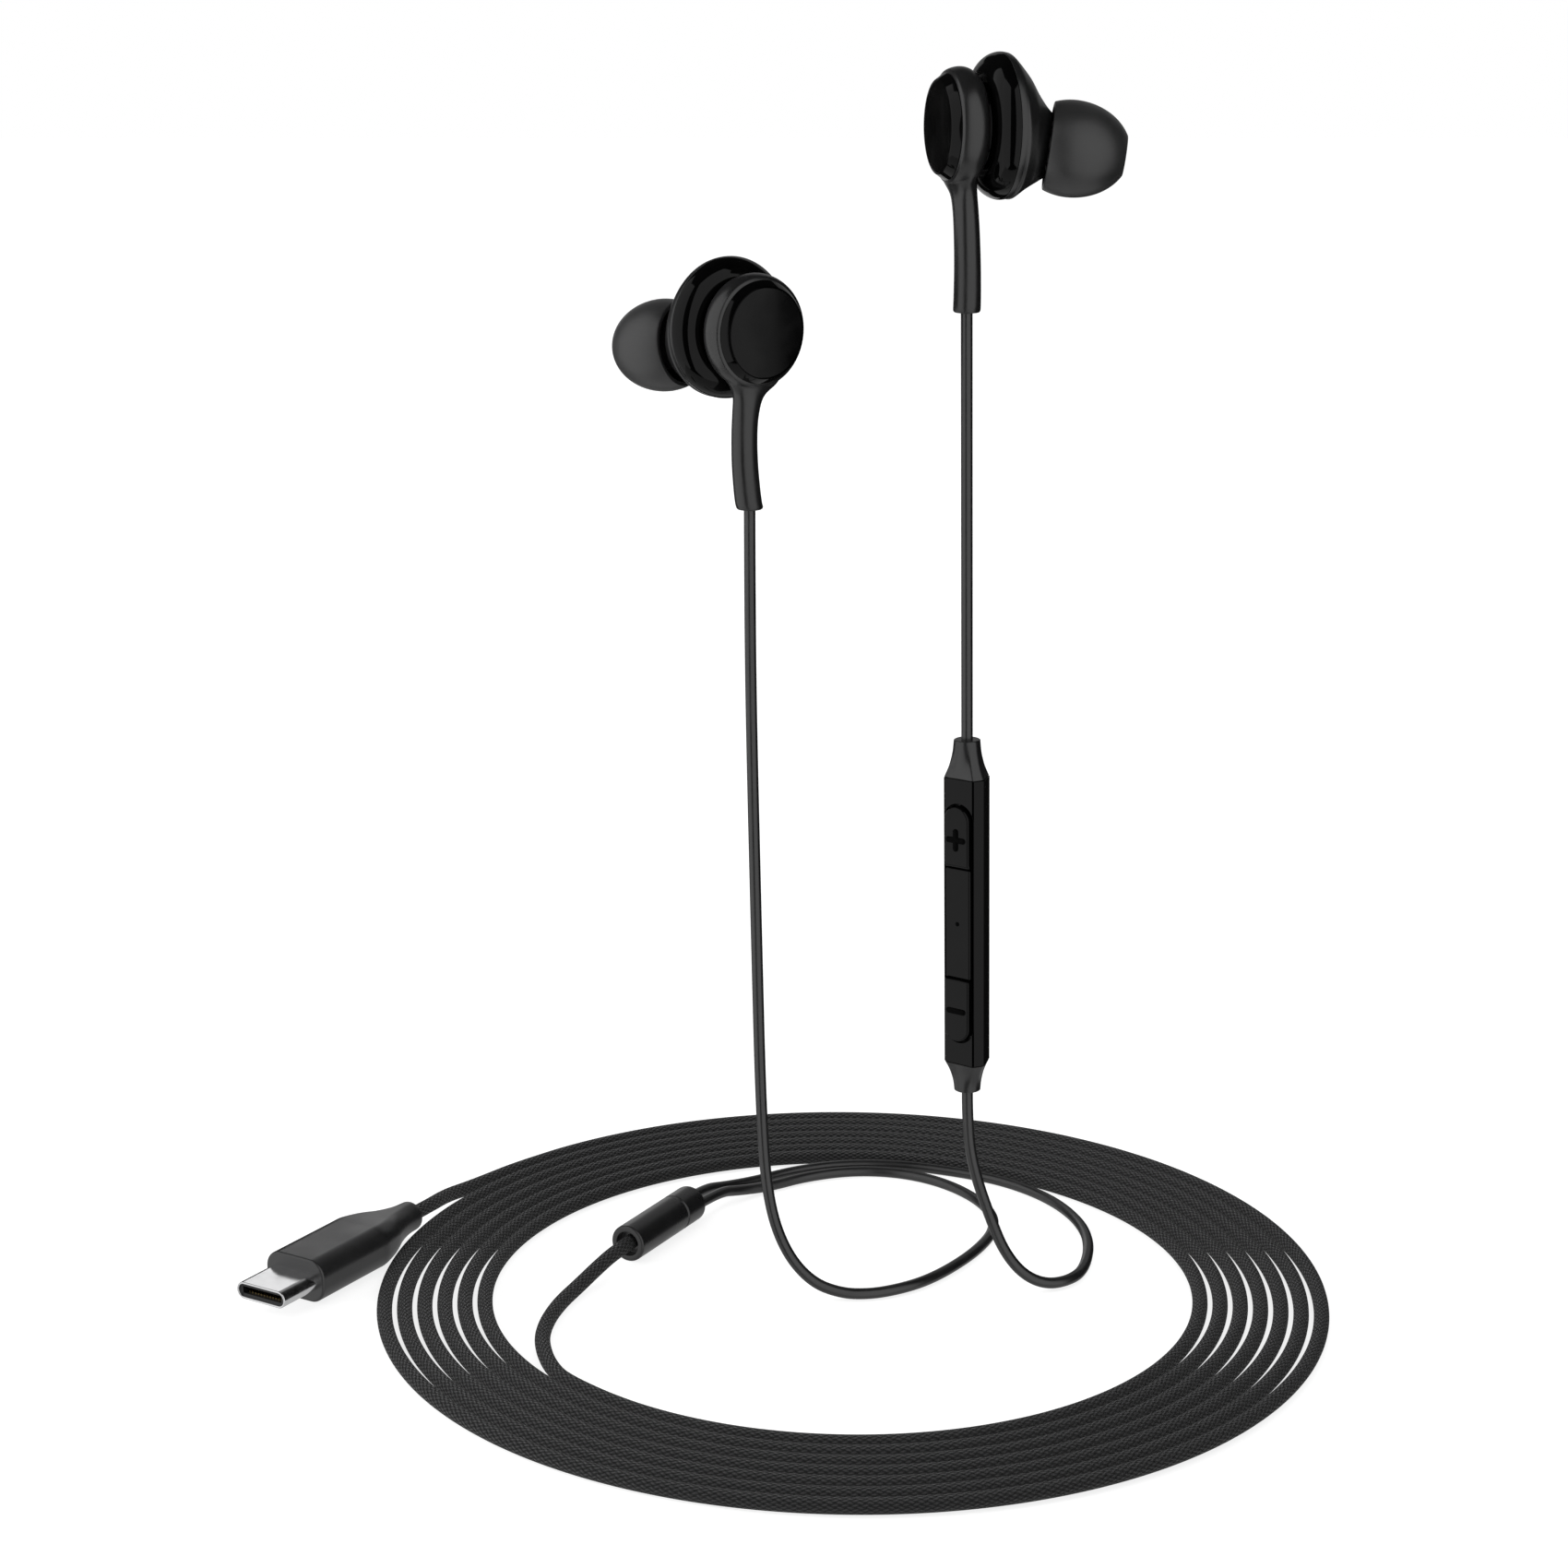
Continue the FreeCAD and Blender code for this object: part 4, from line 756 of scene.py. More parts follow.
def braided_tube(name, points):
    """Tube along points in metres that knows the length and turn at each vertex, for its weave."""
    last = len(points) - 1
    side = V(0, 0, 1)
    verts = []
    length = []
    gone = 0.0
    for i, point in enumerate(points):
        before, after = points[max(i - 1, 0)], points[min(i + 1, last)]
        along = (after - before).normalized()
        side = (side - along * side.dot(along)).normalized()
        other = along.cross(side)
        gone += (point - before).length
        for angle in around(BRAID_SIDES):
            verts.append(tuple(point + (side * math.cos(angle) + other * math.sin(angle)) * (BRAID_D / 2 * MM)))
        length += [gone] * BRAID_SIDES
    faces = []
    for a in range(0, last * BRAID_SIDES, BRAID_SIDES):
        b = a + BRAID_SIDES
        for k in range(BRAID_SIDES):
            j = (k + 1) % BRAID_SIDES
            faces.append((a + k, a + j, b + j, b + k))
    faces.append(tuple(reversed(range(BRAID_SIDES))))
    faces.append(tuple(range(last * BRAID_SIDES, len(verts))))
    mesh = bpy.data.meshes.new(name)
    mesh.from_pydata(verts, [], faces)
    index = np.zeros(len(mesh.loops), np.int32)
    mesh.loops.foreach_get("vertex_index", index)
    turn = (index % BRAID_SIDES / BRAID_SIDES).astype(np.float32)
    # In the last strip of faces the turn goes on to 1
    quads = turn[:-2 * BRAID_SIDES].reshape(-1, 4)
    quads[(quads.max(axis=1, keepdims=True) > 0.75) & (quads < 0.25)] += 1
    for title, values in (("cord_length", np.array(length, np.float32)[index]), ("cord_turn", turn)):
        attribute = mesh.attributes.new(title, "FLOAT", "CORNER")
        attribute.data.foreach_set("value", values)
    mesh.update()
    return mesh


def make_cords():
    straight = SPLITTER_LENGTH + SLIDER_LENGTH + SLIDER_TRAVEL + SLIDER_CLEAR
    near, far = ([SPLITTER_PLACE @ V(side * THIN_SPACING / 2, 0, z) for z in (straight, SPLITTER_LENGTH)]
                 for side in (-1, 1))
    left_end = stem_end("left")
    right_end = stem_end("right")
    remote_top = right_end + REMOTE_LEAN * REMOTE_BELOW_STEM
    remote_bottom = remote_top + REMOTE_LEAN * REMOTE_LENGTH
    thin_cord("left_cord", [left_end, left_end - V(0, 0, STEM_RUN)] + LEFT_ROUTE + near, "cord_left")
    thin_cord("right_cord_upper", [right_end, right_end.lerp(remote_top, 0.5), remote_top],
              "cord_right_upper")
    thin_cord("right_cord_lower",
              [remote_bottom, remote_bottom + REMOTE_LEAN * REMOTE_RUN] + RIGHT_ROUTE + far, "cord_right_lower")
    lead = [SPLITTER_PLACE @ V(0, 0, z) for z in (RECESS_DEPTH + CORE_END_WALL, -SPLITTER_RUN)]
    tail = [PLUG_PLACE @ V(0, 0, z) for z in (GRIP_END + PLUG_RUN, GRIP_END)]
    curve = spline_curve("main_route", lead + LEAD_ROUTE + coil_points() + TAIL_ROUTE + tail, MAIN_RESOLUTION)
    path = evenly(spline_points(curve), BRAID_RING_STEP)
    bpy.data.objects.remove(curve)
    cord = finish_object("main_cord", braided_tube("main_cord", path), "braid_black", "root",
                         ["main_cord_coil", "main_cord_lead", "main_cord_tail"], BRAID_SHARP)
    cord.visible_glossy = False


make_cords()


# Earbud pieces, in the bud's own frame: +X from the face to the ear, +Y back, +Z up

FACE_ROUND = 0.08
BEZEL_ROUND = 0.06
RING_ROUND = 0.1
SHELL_ROUND = 0.12
NOZZLE_ROUND = 0.06
TIP_ROUND = 0.2
STEM_STEPS = 60
STEM_SIDES = 48
STEM_CLEAR = 0.1
TRIM_PAST = 5
BLEND_VOXEL = 0.11
BLEND_SMOOTH = 0.5
BLEND_ROUNDS = 6
CONE_STEPS = 40
SEAM_EDGE = 0.15
SEAM_BULGE = 0.3
NECK_EDGE = 0.25
NECK_RISE = 0.12
EDGE_STEPS = 4
NOZZLE_FLOOR = 0.5
MESH_WIRE = 0.05
MESH_SPACING = 0.22
MESH_RIM = 0.2
MESH_SINK = 0.02
CONE_SHAPE = [
    (0.0, 0.0, 0.0, 1.0, 0.0),
    (0.12, 0.05, 0.12, 0.95, 0.05),
    (0.463, 0.40, 0.375, 0.61, 0.30),
    (0.686, 0.73, 0.71, 0.315, 0.60),
    (0.863, 0.93, 0.914, 0.116, 0.85),
    (1.0, 1.0, 1.0, 0.0, 1.0),
]


def face_plate():
    r = FACE_R - FACE_FIT
    points = [(0, 0), (r - FACE_EDGE, 0), (r, FACE_EDGE), (r, FACE_THICKNESS), (0, FACE_THICKNESS)]
    return lathe(round_corners(points, FACE_ROUND, closed=False), closed=False)


def bezel_ring():
    lip_end = BEVEL_U + BEZEL_LIP_DEPTH
    ledge_end = (FACE_THICKNESS + lip_end) / 2
    ledge_r = FACE_R - BEZEL_LEDGE
    lip_inner = BEZEL_LIP_R - BEZEL_LEDGE
    points = [
        (FACE_R, 0), (BEVEL_R, BEVEL_U), (BEZEL_LIP_R, BEVEL_U), (BEZEL_LIP_R, lip_end), (lip_inner, lip_end),
        (lip_inner, ledge_end), (ledge_r, ledge_end), (ledge_r, FACE_THICKNESS), (FACE_R, FACE_THICKNESS)]
    return lathe(round_corners(points, BEZEL_ROUND))


def level_middle(peak, end):
    """Middle point of the arc that leaves a peak level and falls to an end."""
    drop, run = peak[0] - end[0], end[1] - peak[1]
    half = math.atan2(drop, abs(run))
    radius = run / math.sin(2 * half)
    return (peak[0] - abs(radius) * (1 - math.cos(half)), peak[1] + radius * math.sin(half))


def ring_solid():
    shoulder = (RING_SHOULDER_R, RING_FRONT_U + RING_SHOULDER)
    peak = (RING_R, RING_PEAK_U)
    rear = (RING_REAR_R, RING_REAR_U)
    mouth_r = BEZEL_LIP_R + NECK_FIT
    mouth_end = BEVEL_U + BEZEL_LIP_DEPTH + RING_SEAM
    rear_wall = RING_REAR_U - RING_WALL
    hole_r = NECK_R + NECK_FIT
    hollow_r = mouth_r - RING_RELIEF
    points = profile((mouth_r, RING_FRONT_U), [
        [(BEVEL_R, RING_FRONT_U)], [shoulder],
        [level_middle(peak, shoulder), peak], [level_middle(peak, rear), rear],
        [(hole_r, RING_REAR_U)], [(hole_r, rear_wall)], [(hollow_r, rear_wall)],
        [(hollow_r, mouth_end)], [(mouth_r, mouth_end)]], 20)
    return lathe(round_corners(points, RING_ROUND), segments=128)


def smooth_through(rows, share):
    """Catmull-Rom value of rows of numbers at a share of the way through them."""
    at = share * (len(rows) - 1)
    i = min(int(at), len(rows) - 2)
    t = at - i
    p0, p1 = rows[max(i - 1, 0)], rows[i]
    p2, p3 = rows[i + 1], rows[min(i + 2, len(rows) - 1)]
    return [0.5 * (2 * b + (c - a) * t + (2 * a - 5 * b + 4 * c - d) * t**2 + (3 * b - a - 3 * c + d) * t**3)
            for a, b, c, d in zip(p0, p1, p2, p3)]


def ellipse_ring(depth, along, back, half_x, half_y):
    return [V(along + half_x * math.cos(a), back + half_y * math.sin(a), -depth) for a in around(STEM_SIDES)]


def stem_solid():
    """Loft of level ellipses with a rounded edge at its lower end."""
    depth, along, back, half_x, half_y = STEM_SECTIONS[-1]
    rows = [smooth_through(STEM_SECTIONS, i / STEM_STEPS) for i in range(STEM_STEPS)]
    rings = [ellipse_ring(*row) for row in rows if row[0] < depth - STEM_EDGE - STEM_CLEAR]
    for angle in quarter(EDGE_STEPS):
        inset = STEM_EDGE * (1 - math.cos(angle))
        rings.append(ellipse_ring(depth - STEM_EDGE * (1 - math.sin(angle)), along, back,
                                  half_x - inset, half_y - inset))
    return loft(rings)


def rear_housing():
    """Ring and stem grown together with a soft blend where they meet."""
    stem = mesh_object(stem_solid())
    low, high = -TRIM_PAST, RING_REAR_U + TRIM_PAST
    trim = lathe([(0, low), (STEM_TRIM_R, low), (STEM_TRIM_R, high), (0, high)], closed=False)
    trim.transform(ALONG_BUD)
    cut(stem, trim)
    cut(stem, box((-FAR, -FAR, -FAR), (RING_FRONT_U, FAR, FAR)))
    ring = ring_solid()
    ring.transform(ALONG_BUD)
    cut(stem, ring, "UNION")
    remesh = stem.modifiers.new("remesh", "REMESH")
    remesh.mode = "VOXEL"
    remesh.voxel_size = BLEND_VOXEL
    smooth = stem.modifiers.new("smooth", "SMOOTH")
    smooth.factor = BLEND_SMOOTH
    smooth.iterations = BLEND_ROUNDS
    return settle(stem)


def middle_shell():
    half = math.sqrt(0.5)
    span = SHELL_R - SHELL_REAR_R
    inner_span = span - SHELL_WALL
    inner_rise = SHELL_RISE - SHELL_WALL
    rear_inner = SHELL_REAR_U + SHELL_WALL
    spigot_end = RING_REAR_U - RING_WALL
    spigot_r = NECK_R - NECK_WALL
    points = profile((SHELL_REAR_R, SHELL_REAR_U), [
        [(SHELL_REAR_R + span * half, SHELL_PEAK_U - SHELL_RISE * half), (SHELL_R, SHELL_PEAK_U)],
        [(SHELL_REAR_R + inner_span, SHELL_PEAK_U)],
        [(SHELL_REAR_R + inner_span * half, SHELL_PEAK_U - inner_rise * half), (SHELL_REAR_R, rear_inner)],
        [(spigot_r, rear_inner)], [(spigot_r, spigot_end)], [(NECK_R, spigot_end)], [(NECK_R, SHELL_REAR_U)]], 24)
    return lathe(round_corners(points, SHELL_ROUND), segments=144)


def round_ring(centre, normal, radius, segments=96):
    """Points of a circle about a centre, square to a normal."""
    place = placement(centre, normal, V(0, 0, -1))
    return [place @ V(radius * math.cos(a), radius * math.sin(a), 0) for a in around(segments)]


def shell_ring(radius, along):
    return round_ring(V(along, 0, 0), V(1, 0, 0), radius)


def cone_ring(share):
    length, skew, drop, width, tilt = smooth_through(CONE_SHAPE, share)
    centre = V(JOIN_U + CONE_LENGTH * length, -CONE_FORWARD * skew, -CONE_DROP * drop)
    radius = CONE_NECK_R + (SHELL_JOIN_R - CONE_NECK_R) * width
    return round_ring(centre, V(1, 0, 0) * (1 - tilt) + nozzle_axis() * tilt, radius)


def front_shell():
    """Skewed cone from the shell's widest line to the nozzle, with a round edge at the seam and at the neck."""
    inner_r = SHELL_R - SHELL_WALL
    rings = [shell_ring(inner_r, JOIN_U), shell_ring(inner_r, SHELL_PEAK_U)]
    for angle in quarter(EDGE_STEPS):
        ahead = SEAM_EDGE * SEAM_BULGE * (1 - math.cos(angle))
        rings.append(shell_ring(SHELL_R - SEAM_EDGE * (1 - math.sin(angle)), SHELL_PEAK_U + ahead))
    fall_mid = (SHELL_PEAK_U + JOIN_U) / 2
    fall_r = SHELL_R - (SHELL_R - SHELL_JOIN_R) / 4
    rings += [shell_ring(*p) for p in bow((SHELL_R, SHELL_PEAK_U), (fall_r, fall_mid), (SHELL_JOIN_R, JOIN_U), 8)]
    rings += [cone_ring(i / CONE_STEPS) for i in range(1, CONE_STEPS + 1)]
    neck = cone_neck()
    axis = nozzle_axis()
    last = rings[-1]
    for angle in quarter(EDGE_STEPS)[1:]:
        inset = NECK_EDGE * (1 - math.cos(angle)) / CONE_NECK_R
        rings.append([p.lerp(neck, inset) + axis * NECK_RISE * math.sin(angle) for p in last])
    bm = loft(rings)
    ridge_top = NOZZLE_LENGTH - RIDGE_FROM_END
    ridge_low = ridge_top - RIDGE_WIDTH
    seat_r = MESH_R + FACE_FIT
    seat = NOZZLE_LENGTH - MESH_THICKNESS
    points = [
        (0, -NOZZLE_ROOT), (NOZZLE_R, -NOZZLE_ROOT), (NOZZLE_R, ridge_low - RIDGE_SLOPE), (RIDGE_R, ridge_low),
        (RIDGE_R, ridge_top), (NOZZLE_R, ridge_top + RIDGE_SLOPE), (NOZZLE_R, NOZZLE_LENGTH),
        (seat_r, NOZZLE_LENGTH), (seat_r, seat), (NOZZLE_BORE_R, seat), (NOZZLE_BORE_R, NOZZLE_FLOOR),
        (0, NOZZLE_FLOOR)]
    tube = lathe(round_corners(points, NOZZLE_ROUND, closed=False), closed=False, segments=64)
    tube.transform(nozzle_place())
    absorb(bm, tube)
    return bm


def nozzle_mesh():
    """Crossed wires in a round rim."""
    back, front = NOZZLE_LENGTH - MESH_THICKNESS, NOZZLE_LENGTH - MESH_SINK
    inner = MESH_R - MESH_RIM
    bm = lathe([(MESH_R, back), (MESH_R, front), (inner, front), (inner, back)], segments=48)
    middle = NOZZLE_LENGTH - MESH_THICKNESS / 2
    low, high = middle - MESH_WIRE / 2, middle + MESH_WIRE / 2
    count = int(MESH_R / MESH_SPACING)
    for i in range(-count, count + 1):
        offset = i * MESH_SPACING
        near, far = offset - MESH_WIRE / 2, offset + MESH_WIRE / 2
        reach = math.sqrt(MESH_R**2 - offset**2) - MESH_SINK
        absorb(bm, box((-reach, near, low), (reach, far, high)))
        absorb(bm, box((near, -reach, low), (far, reach, high)))
    bm.transform(nozzle_place())
    return bm


def dome_edge(side_r, base, mouth_r, mouth, steps=26):
    """Points of an upright ellipse about Z, from the mouth that cuts it down to its side at the base."""
    turn = math.acos(mouth_r / side_r)
    stretch = (mouth - base) / math.sin(turn)
    angles = [turn * (1 - i / steps) for i in range(steps + 1)]
    return [(side_r * math.cos(a), base + stretch * math.sin(a)) for a in angles]


def ear_tip():
    """Mushroom tip: a soft dome folded back as a skirt round the core on the nozzle."""
    core_r = TIP_BORE_R + TIP_CORE_WALL
    lip_r = TIP_BORE_R + TIP_LIP
    lip_base = TIP_LENGTH - TIP_LIP
    crown = TIP_LENGTH - TIP_CROWN
    fold_r = core_r + TIP_FOLD
    fold_base = crown - TIP_FOLD
    skirt_r = TIP_R - TIP_SKIRT
    rim_in = TIP_RIM_R - TIP_SKIRT
    lip_half = TIP_LIP * math.sqrt(0.5)
    fold_half = TIP_FOLD * math.sqrt(0.5)
    points = dome_edge(TIP_R, TIP_PEAK, lip_r, TIP_LENGTH)
    points += bow(points[-1], (TIP_R - (TIP_R - TIP_RIM_R) / 4, TIP_PEAK / 2), (TIP_RIM_R, 0), 12)
    points.append((rim_in, 0))
    points += bow(points[-1], (skirt_r - (skirt_r - rim_in) / 4, TIP_PEAK / 2), (skirt_r, TIP_PEAK), 12)
    points += dome_edge(skirt_r, TIP_PEAK, fold_r, crown)[-2::-1]
    points += bow(points[-1], (fold_r - fold_half, fold_base + fold_half), (core_r, fold_base), 6)
    points += [(core_r, TIP_CORE_START), (TIP_BORE_R, TIP_CORE_START), (TIP_BORE_R, lip_base)]
    points += bow(points[-1], (lip_r - lip_half, lip_base + lip_half), (lip_r, TIP_LENGTH), 8)[:-1]
    return lathe(round_corners(points, TIP_ROUND), segments=128)


def make_earbuds():
    here = Matrix.Identity(4)
    pieces = [
        ("face_plate", face_plate, ALONG_BUD, "gloss_black"),
        ("bezel_ring", bezel_ring, ALONG_BUD, "gloss_black"),
        ("rear_housing", rear_housing, here, "matte_black"),
        ("middle_shell", middle_shell, ALONG_BUD, "gloss_black"),
        ("front_shell", front_shell, here, "matte_black"),
        ("nozzle_mesh", nozzle_mesh, here, "mesh_steel"),
        ("ear_tip", ear_tip, tip_place(), "silicone_black"),
    ]
    for piece, build, place, slot in pieces:
        made = build()
        for side, bud in BUDS.items():
            name = side + "_" + piece
            body = side + "_tip" if piece == "ear_tip" else "root"
            finish_mesh(name + "_skin", made.copy(), bud @ place, slot, body, [name])
        made.free()


make_earbuds()


# Remote, in its own frame: front face at Y = 0, top end at Z = 0 and +Z up

REMOTE_FRONT_HALF = 2.29
REMOTE_HALF = 3.13
REMOTE_BACK_HALF = 1.945
REMOTE_CHAMFER_DEPTH = 1.45
REMOTE_DEPTH = 4.39
REMOTE_EDGE = 0.35
REMOTE_FACET = 0.16
FACET_SHARP = math.radians(25)
CAP_GROOVE = 0.14
CAP_GROOVE_DEPTH = 0.35
CAP_EDGE = 0.2
CAP_SIDES = 96
CAP_STEPS = 30
CAP_END_R = 1.73
CAP_STEP = 0.08
SLOT_FROM_TOP = 3.44
SLOT_LENGTH = 32.17
SLOT_HALF = 2.055
BUTTON_FIT = 0.1
BUTTON_ROOT = 0.8
SLOT_RELIEF = 0.24
UP_LENGTH = 8.42
DOWN_LENGTH = 8.67
VOLUME_PROUD = 0.65
PLAY_PROUD = 0.28
BUTTON_EDGE = 0.28
SLOPE_DEPTH = 0.37
SLOPE_HEIGHT = 0.6
MIC_PORT_R = 0.35
MIC_PORT_DEPTH = 0.6
MIC_PORT_REACH = 3
MIC_FROM_TOP = 21.0
SIGN_LENGTH = 3.05
SIGN_WIDTH = 0.8
SIGN_HEIGHT = 0.28
SIGN_ROOT = 0.1
PLUS_LOWER = 0.3
DOT_R = 0.3
DOT_HEIGHT = 0.16
REMOTE_BEVEL = 0.05
BODY_TOP = -TOP_CAP
BODY_BOTTOM = BODY_TOP - REMOTE_BODY
SLOT_TOP = BODY_TOP - SLOT_FROM_TOP
SLOT_BOTTOM = SLOT_TOP - SLOT_LENGTH
UP_SPLIT = SLOT_TOP - UP_LENGTH
DOWN_SPLIT = SLOT_BOTTOM + DOWN_LENGTH


def remote_place():
    top = stem_end("right") + REMOTE_LEAN * REMOTE_BELOW_STEM
    place = placement(top, REMOTE_LEAN * -1, heading(REMOTE_TURN))
    return place @ Matrix.Translation(V(0, -REMOTE_CORD_DEPTH, 0))


REMOTE_PLACE = remote_place()
REMOTE_CORNERS = [
    (-REMOTE_FRONT_HALF, 0), (REMOTE_FRONT_HALF, 0), (REMOTE_HALF, REMOTE_CHAMFER_DEPTH),
    (REMOTE_BACK_HALF, REMOTE_DEPTH), (-REMOTE_BACK_HALF, REMOTE_DEPTH), (-REMOTE_HALF, REMOTE_CHAMFER_DEPTH)]


def racetrack(half, bottom, top, steps=20):
    """Outline in x and z of a slot with round ends."""
    points = []
    for centre, start in ((top - half, 0), (bottom + half, math.pi)):
        for i in range(steps + 1):
            angle = start + math.pi * i / steps
            points.append((half * math.cos(angle), centre + half * math.sin(angle)))
    return points


def plate_of(outline, front, back):
    """Solid from front to back over an outline in x and z."""
    return loft([[V(x, y, z) for x, z in outline] for y in (front, back)])


def remote_half(front):
    """Front or rear shell of the remote's six-sided body."""
    outline = round_corners(REMOTE_CORNERS, REMOTE_FACET, shares=FACET_SHARES)
    obj = mesh_object(loft([[V(x, y, z) for x, y in outline] for z in (BODY_BOTTOM, BODY_TOP)]))
    if front:
        cut(obj, box((-FAR, -FAR, -FAR), (FAR, REMOTE_CHAMFER_DEPTH, FAR)), "INTERSECT")
        wide = racetrack(SLOT_HALF + SLOT_RELIEF, SLOT_BOTTOM - SLOT_RELIEF, SLOT_TOP + SLOT_RELIEF)
        cut(obj, plate_of(wide, -PAST, REMOTE_DEPTH))
    else:
        cut(obj, box((-FAR, REMOTE_CHAMFER_DEPTH, -FAR), (FAR, FAR, FAR)), "INTERSECT")
        port = lathe([(0, 0), (MIC_PORT_R, 0), (MIC_PORT_R, MIC_PORT_REACH), (0, MIC_PORT_REACH)],
                     closed=False, segments=24)
        port.transform(placement(V(0, REMOTE_DEPTH - MIC_PORT_DEPTH, -MIC_FROM_TOP), V(0, 1, 0), V(1, 0, 0)))
        cut(obj, port)
    add_bevel(obj, REMOTE_BEVEL, 2)
    return settle(obj)


def button(low, high, proud, sloped=False):
    """Button between two heights, whose lower edge may slope down to the face of the next one."""
    outline = racetrack(SLOT_HALF - BUTTON_FIT, SLOT_BOTTOM + BUTTON_FIT, SLOT_TOP - BUTTON_FIT)
    obj = mesh_object(plate_of(outline, -proud, BUTTON_ROOT))
    cut(obj, box((-FAR, -FAR, low), (FAR, FAR, high)), "INTERSECT")
    if sloped:
        before, deep = -proud - PAST, SLOPE_DEPTH - proud
        side = [(before, low + SLOPE_HEIGHT), (-proud, low + SLOPE_HEIGHT), (deep, low), (deep, low - PAST),
                (before, low - PAST)]
        cut(obj, loft([[V(x, y, z) for y, z in side] for x in (-FAR, FAR)]))
    add_bevel(obj, BUTTON_EDGE, 3)
    return settle(obj)


def sign_bar(upright):
    """Half-round bar with round ends, raised from a volume button's face."""
    rows = [(SIGN_WIDTH / 2, -VOLUME_PROUD + SIGN_ROOT)]
    for i in range(7):
        angle = math.radians(12 * i)
        rows.append((SIGN_WIDTH / 2 * math.cos(angle), -VOLUME_PROUD - SIGN_HEIGHT * math.sin(angle)))
    rings = []
    for half, y in rows:
        reach = (SIGN_LENGTH - SIGN_WIDTH) / 2 + half
        outline = racetrack(half, -reach, reach, 12)
        rings.append([V(x, y, z) if upright else V(z, y, x) for x, z in outline])
    return loft(rings)


def sign(middle, plus):
    """A minus, or a plus of two crossed bars, on a volume button."""
    bar = mesh_object(sign_bar(False))
    if plus:
        cut(bar, sign_bar(True), "UNION")
    bm = settle(bar)
    bm.transform(Matrix.Translation(V(0, 0, middle)))
    return bm


def play_dot():
    """Low dome on the play button."""
    points = [(DOT_R * math.cos(a), DOT_HEIGHT * math.sin(a)) for a in quarter(6)]
    dot = lathe([(0, -SIGN_ROOT), (DOT_R, -SIGN_ROOT)] + points, closed=False, segments=32)
    dot.transform(placement(V(0, -PLAY_PROUD, (UP_SPLIT + DOWN_SPLIT) / 2), V(0, -1, 0), V(1, 0, 0)))
    return dot


def body_radius(angle):
    """Distance from the cord's line to the rounded six-sided outline, at an angle round it."""
    reach = 10
    direction = Vector((math.cos(angle), math.sin(angle)))
    outline = round_corners([(x, y - REMOTE_CORD_DEPTH) for x, y in REMOTE_CORNERS], REMOTE_EDGE)
    best = 0
    for a, b in zip(outline, outline[1:] + outline[:1]):
        hit = geometry.intersect_line_line_2d(Vector((0, 0)), direction * reach, Vector(a), Vector(b))
        if hit:
            best = max(best, hit.length)
    return best


CAP_FLARE = [(0.0, 0.0), (0.3, 0.5), (0.65, 0.85), (1.0, 1.0)]


def remote_cap(start, length):
    """Strain relief that draws in from the body's six sides to a round end."""
    angles = around(CAP_SIDES)
    wide = [body_radius(a) - CAP_STEP for a in angles]
    groove = math.copysign(CAP_GROOVE, length)
    edge = math.copysign(CAP_EDGE, length)

    def ring(radii, z):
        return [V(math.cos(a) * r, REMOTE_CORD_DEPTH + math.sin(a) * r, z) for a, r in zip(angles, radii)]

    rings = [ring([w - CAP_GROOVE_DEPTH for w in wide], z) for z in (start, start + groove)]
    for i in range(CAP_STEPS):
        share, blend = smooth_through(CAP_FLARE, i / CAP_STEPS)
        radii = [w * (1 - blend) + CAP_END_R * blend for w in wide]
        rings.append(ring(radii, start + groove + (length - groove) * share))
    for angle in quarter(EDGE_STEPS):
        radius = CAP_END_R - CAP_EDGE * (1 - math.cos(angle))
        rings.append(ring([radius] * CAP_SIDES, start + length - edge * (1 - math.sin(angle))))
    return loft(rings)


def make_remote():
    gap = BUTTON_FIT / 2
    up_middle = (UP_SPLIT + SLOT_TOP) / 2 - PLUS_LOWER
    down_middle = (DOWN_SPLIT + SLOT_BOTTOM) / 2
    for side, front in (("front", True), ("rear", False)):
        finish_mesh("remote_" + side + "_skin", remote_half(front), REMOTE_PLACE, "gloss_black", "root",
                    ["remote_" + side + "_shell"], FACET_SHARP)
    for end, start, length in (("top", BODY_TOP, TOP_CAP), ("bottom", BODY_BOTTOM, -BOTTOM_CAP)):
        finish_mesh("remote_" + end + "_relief", remote_cap(start, length), REMOTE_PLACE, "matte_black", "root",
                    ["remote_" + end + "_cap"])
    spans = [
        ("volume_up", UP_SPLIT + gap, SLOT_TOP + 1, VOLUME_PROUD),
        ("play", DOWN_SPLIT + gap, UP_SPLIT - gap, PLAY_PROUD),
        ("volume_down", SLOT_BOTTOM - 1, DOWN_SPLIT - gap, VOLUME_PROUD),
    ]
    for name, low, high, proud in spans:
        made = button(low, high, proud, name == "volume_up")
        finish_mesh(name + "_cap", made, REMOTE_PLACE, "gloss_black", name, [name + "_button"])
    signs = [
        ("plus_sign", sign(up_middle, True), "volume_up"),
        ("minus_sign", sign(down_middle, False), "volume_down"),
        ("play_dot", play_dot(), "play"),
    ]
    # The signs get the darker, barely reflecting material: painted shade on what is the buttons' own gloss
    # plastic
    for name, made, body in signs:
        finish_mesh(name, made, REMOTE_PLACE, "gloss_black", body, material="sign_black")


make_remote()


# Splitter and slider, along Z from the end where the braided cord comes out

SPLITTER_ROUND = 0.1
SLIDER_ROUND = 0.08
SPLITTER_EDGE = 0.35
RECESS_R = 1.75
SLIDER_GROOVE = 0.22
SLIDER_EDGE = 0.8
SLIDER_FIT = 0.1
SLIDER_FLARE = 0.22


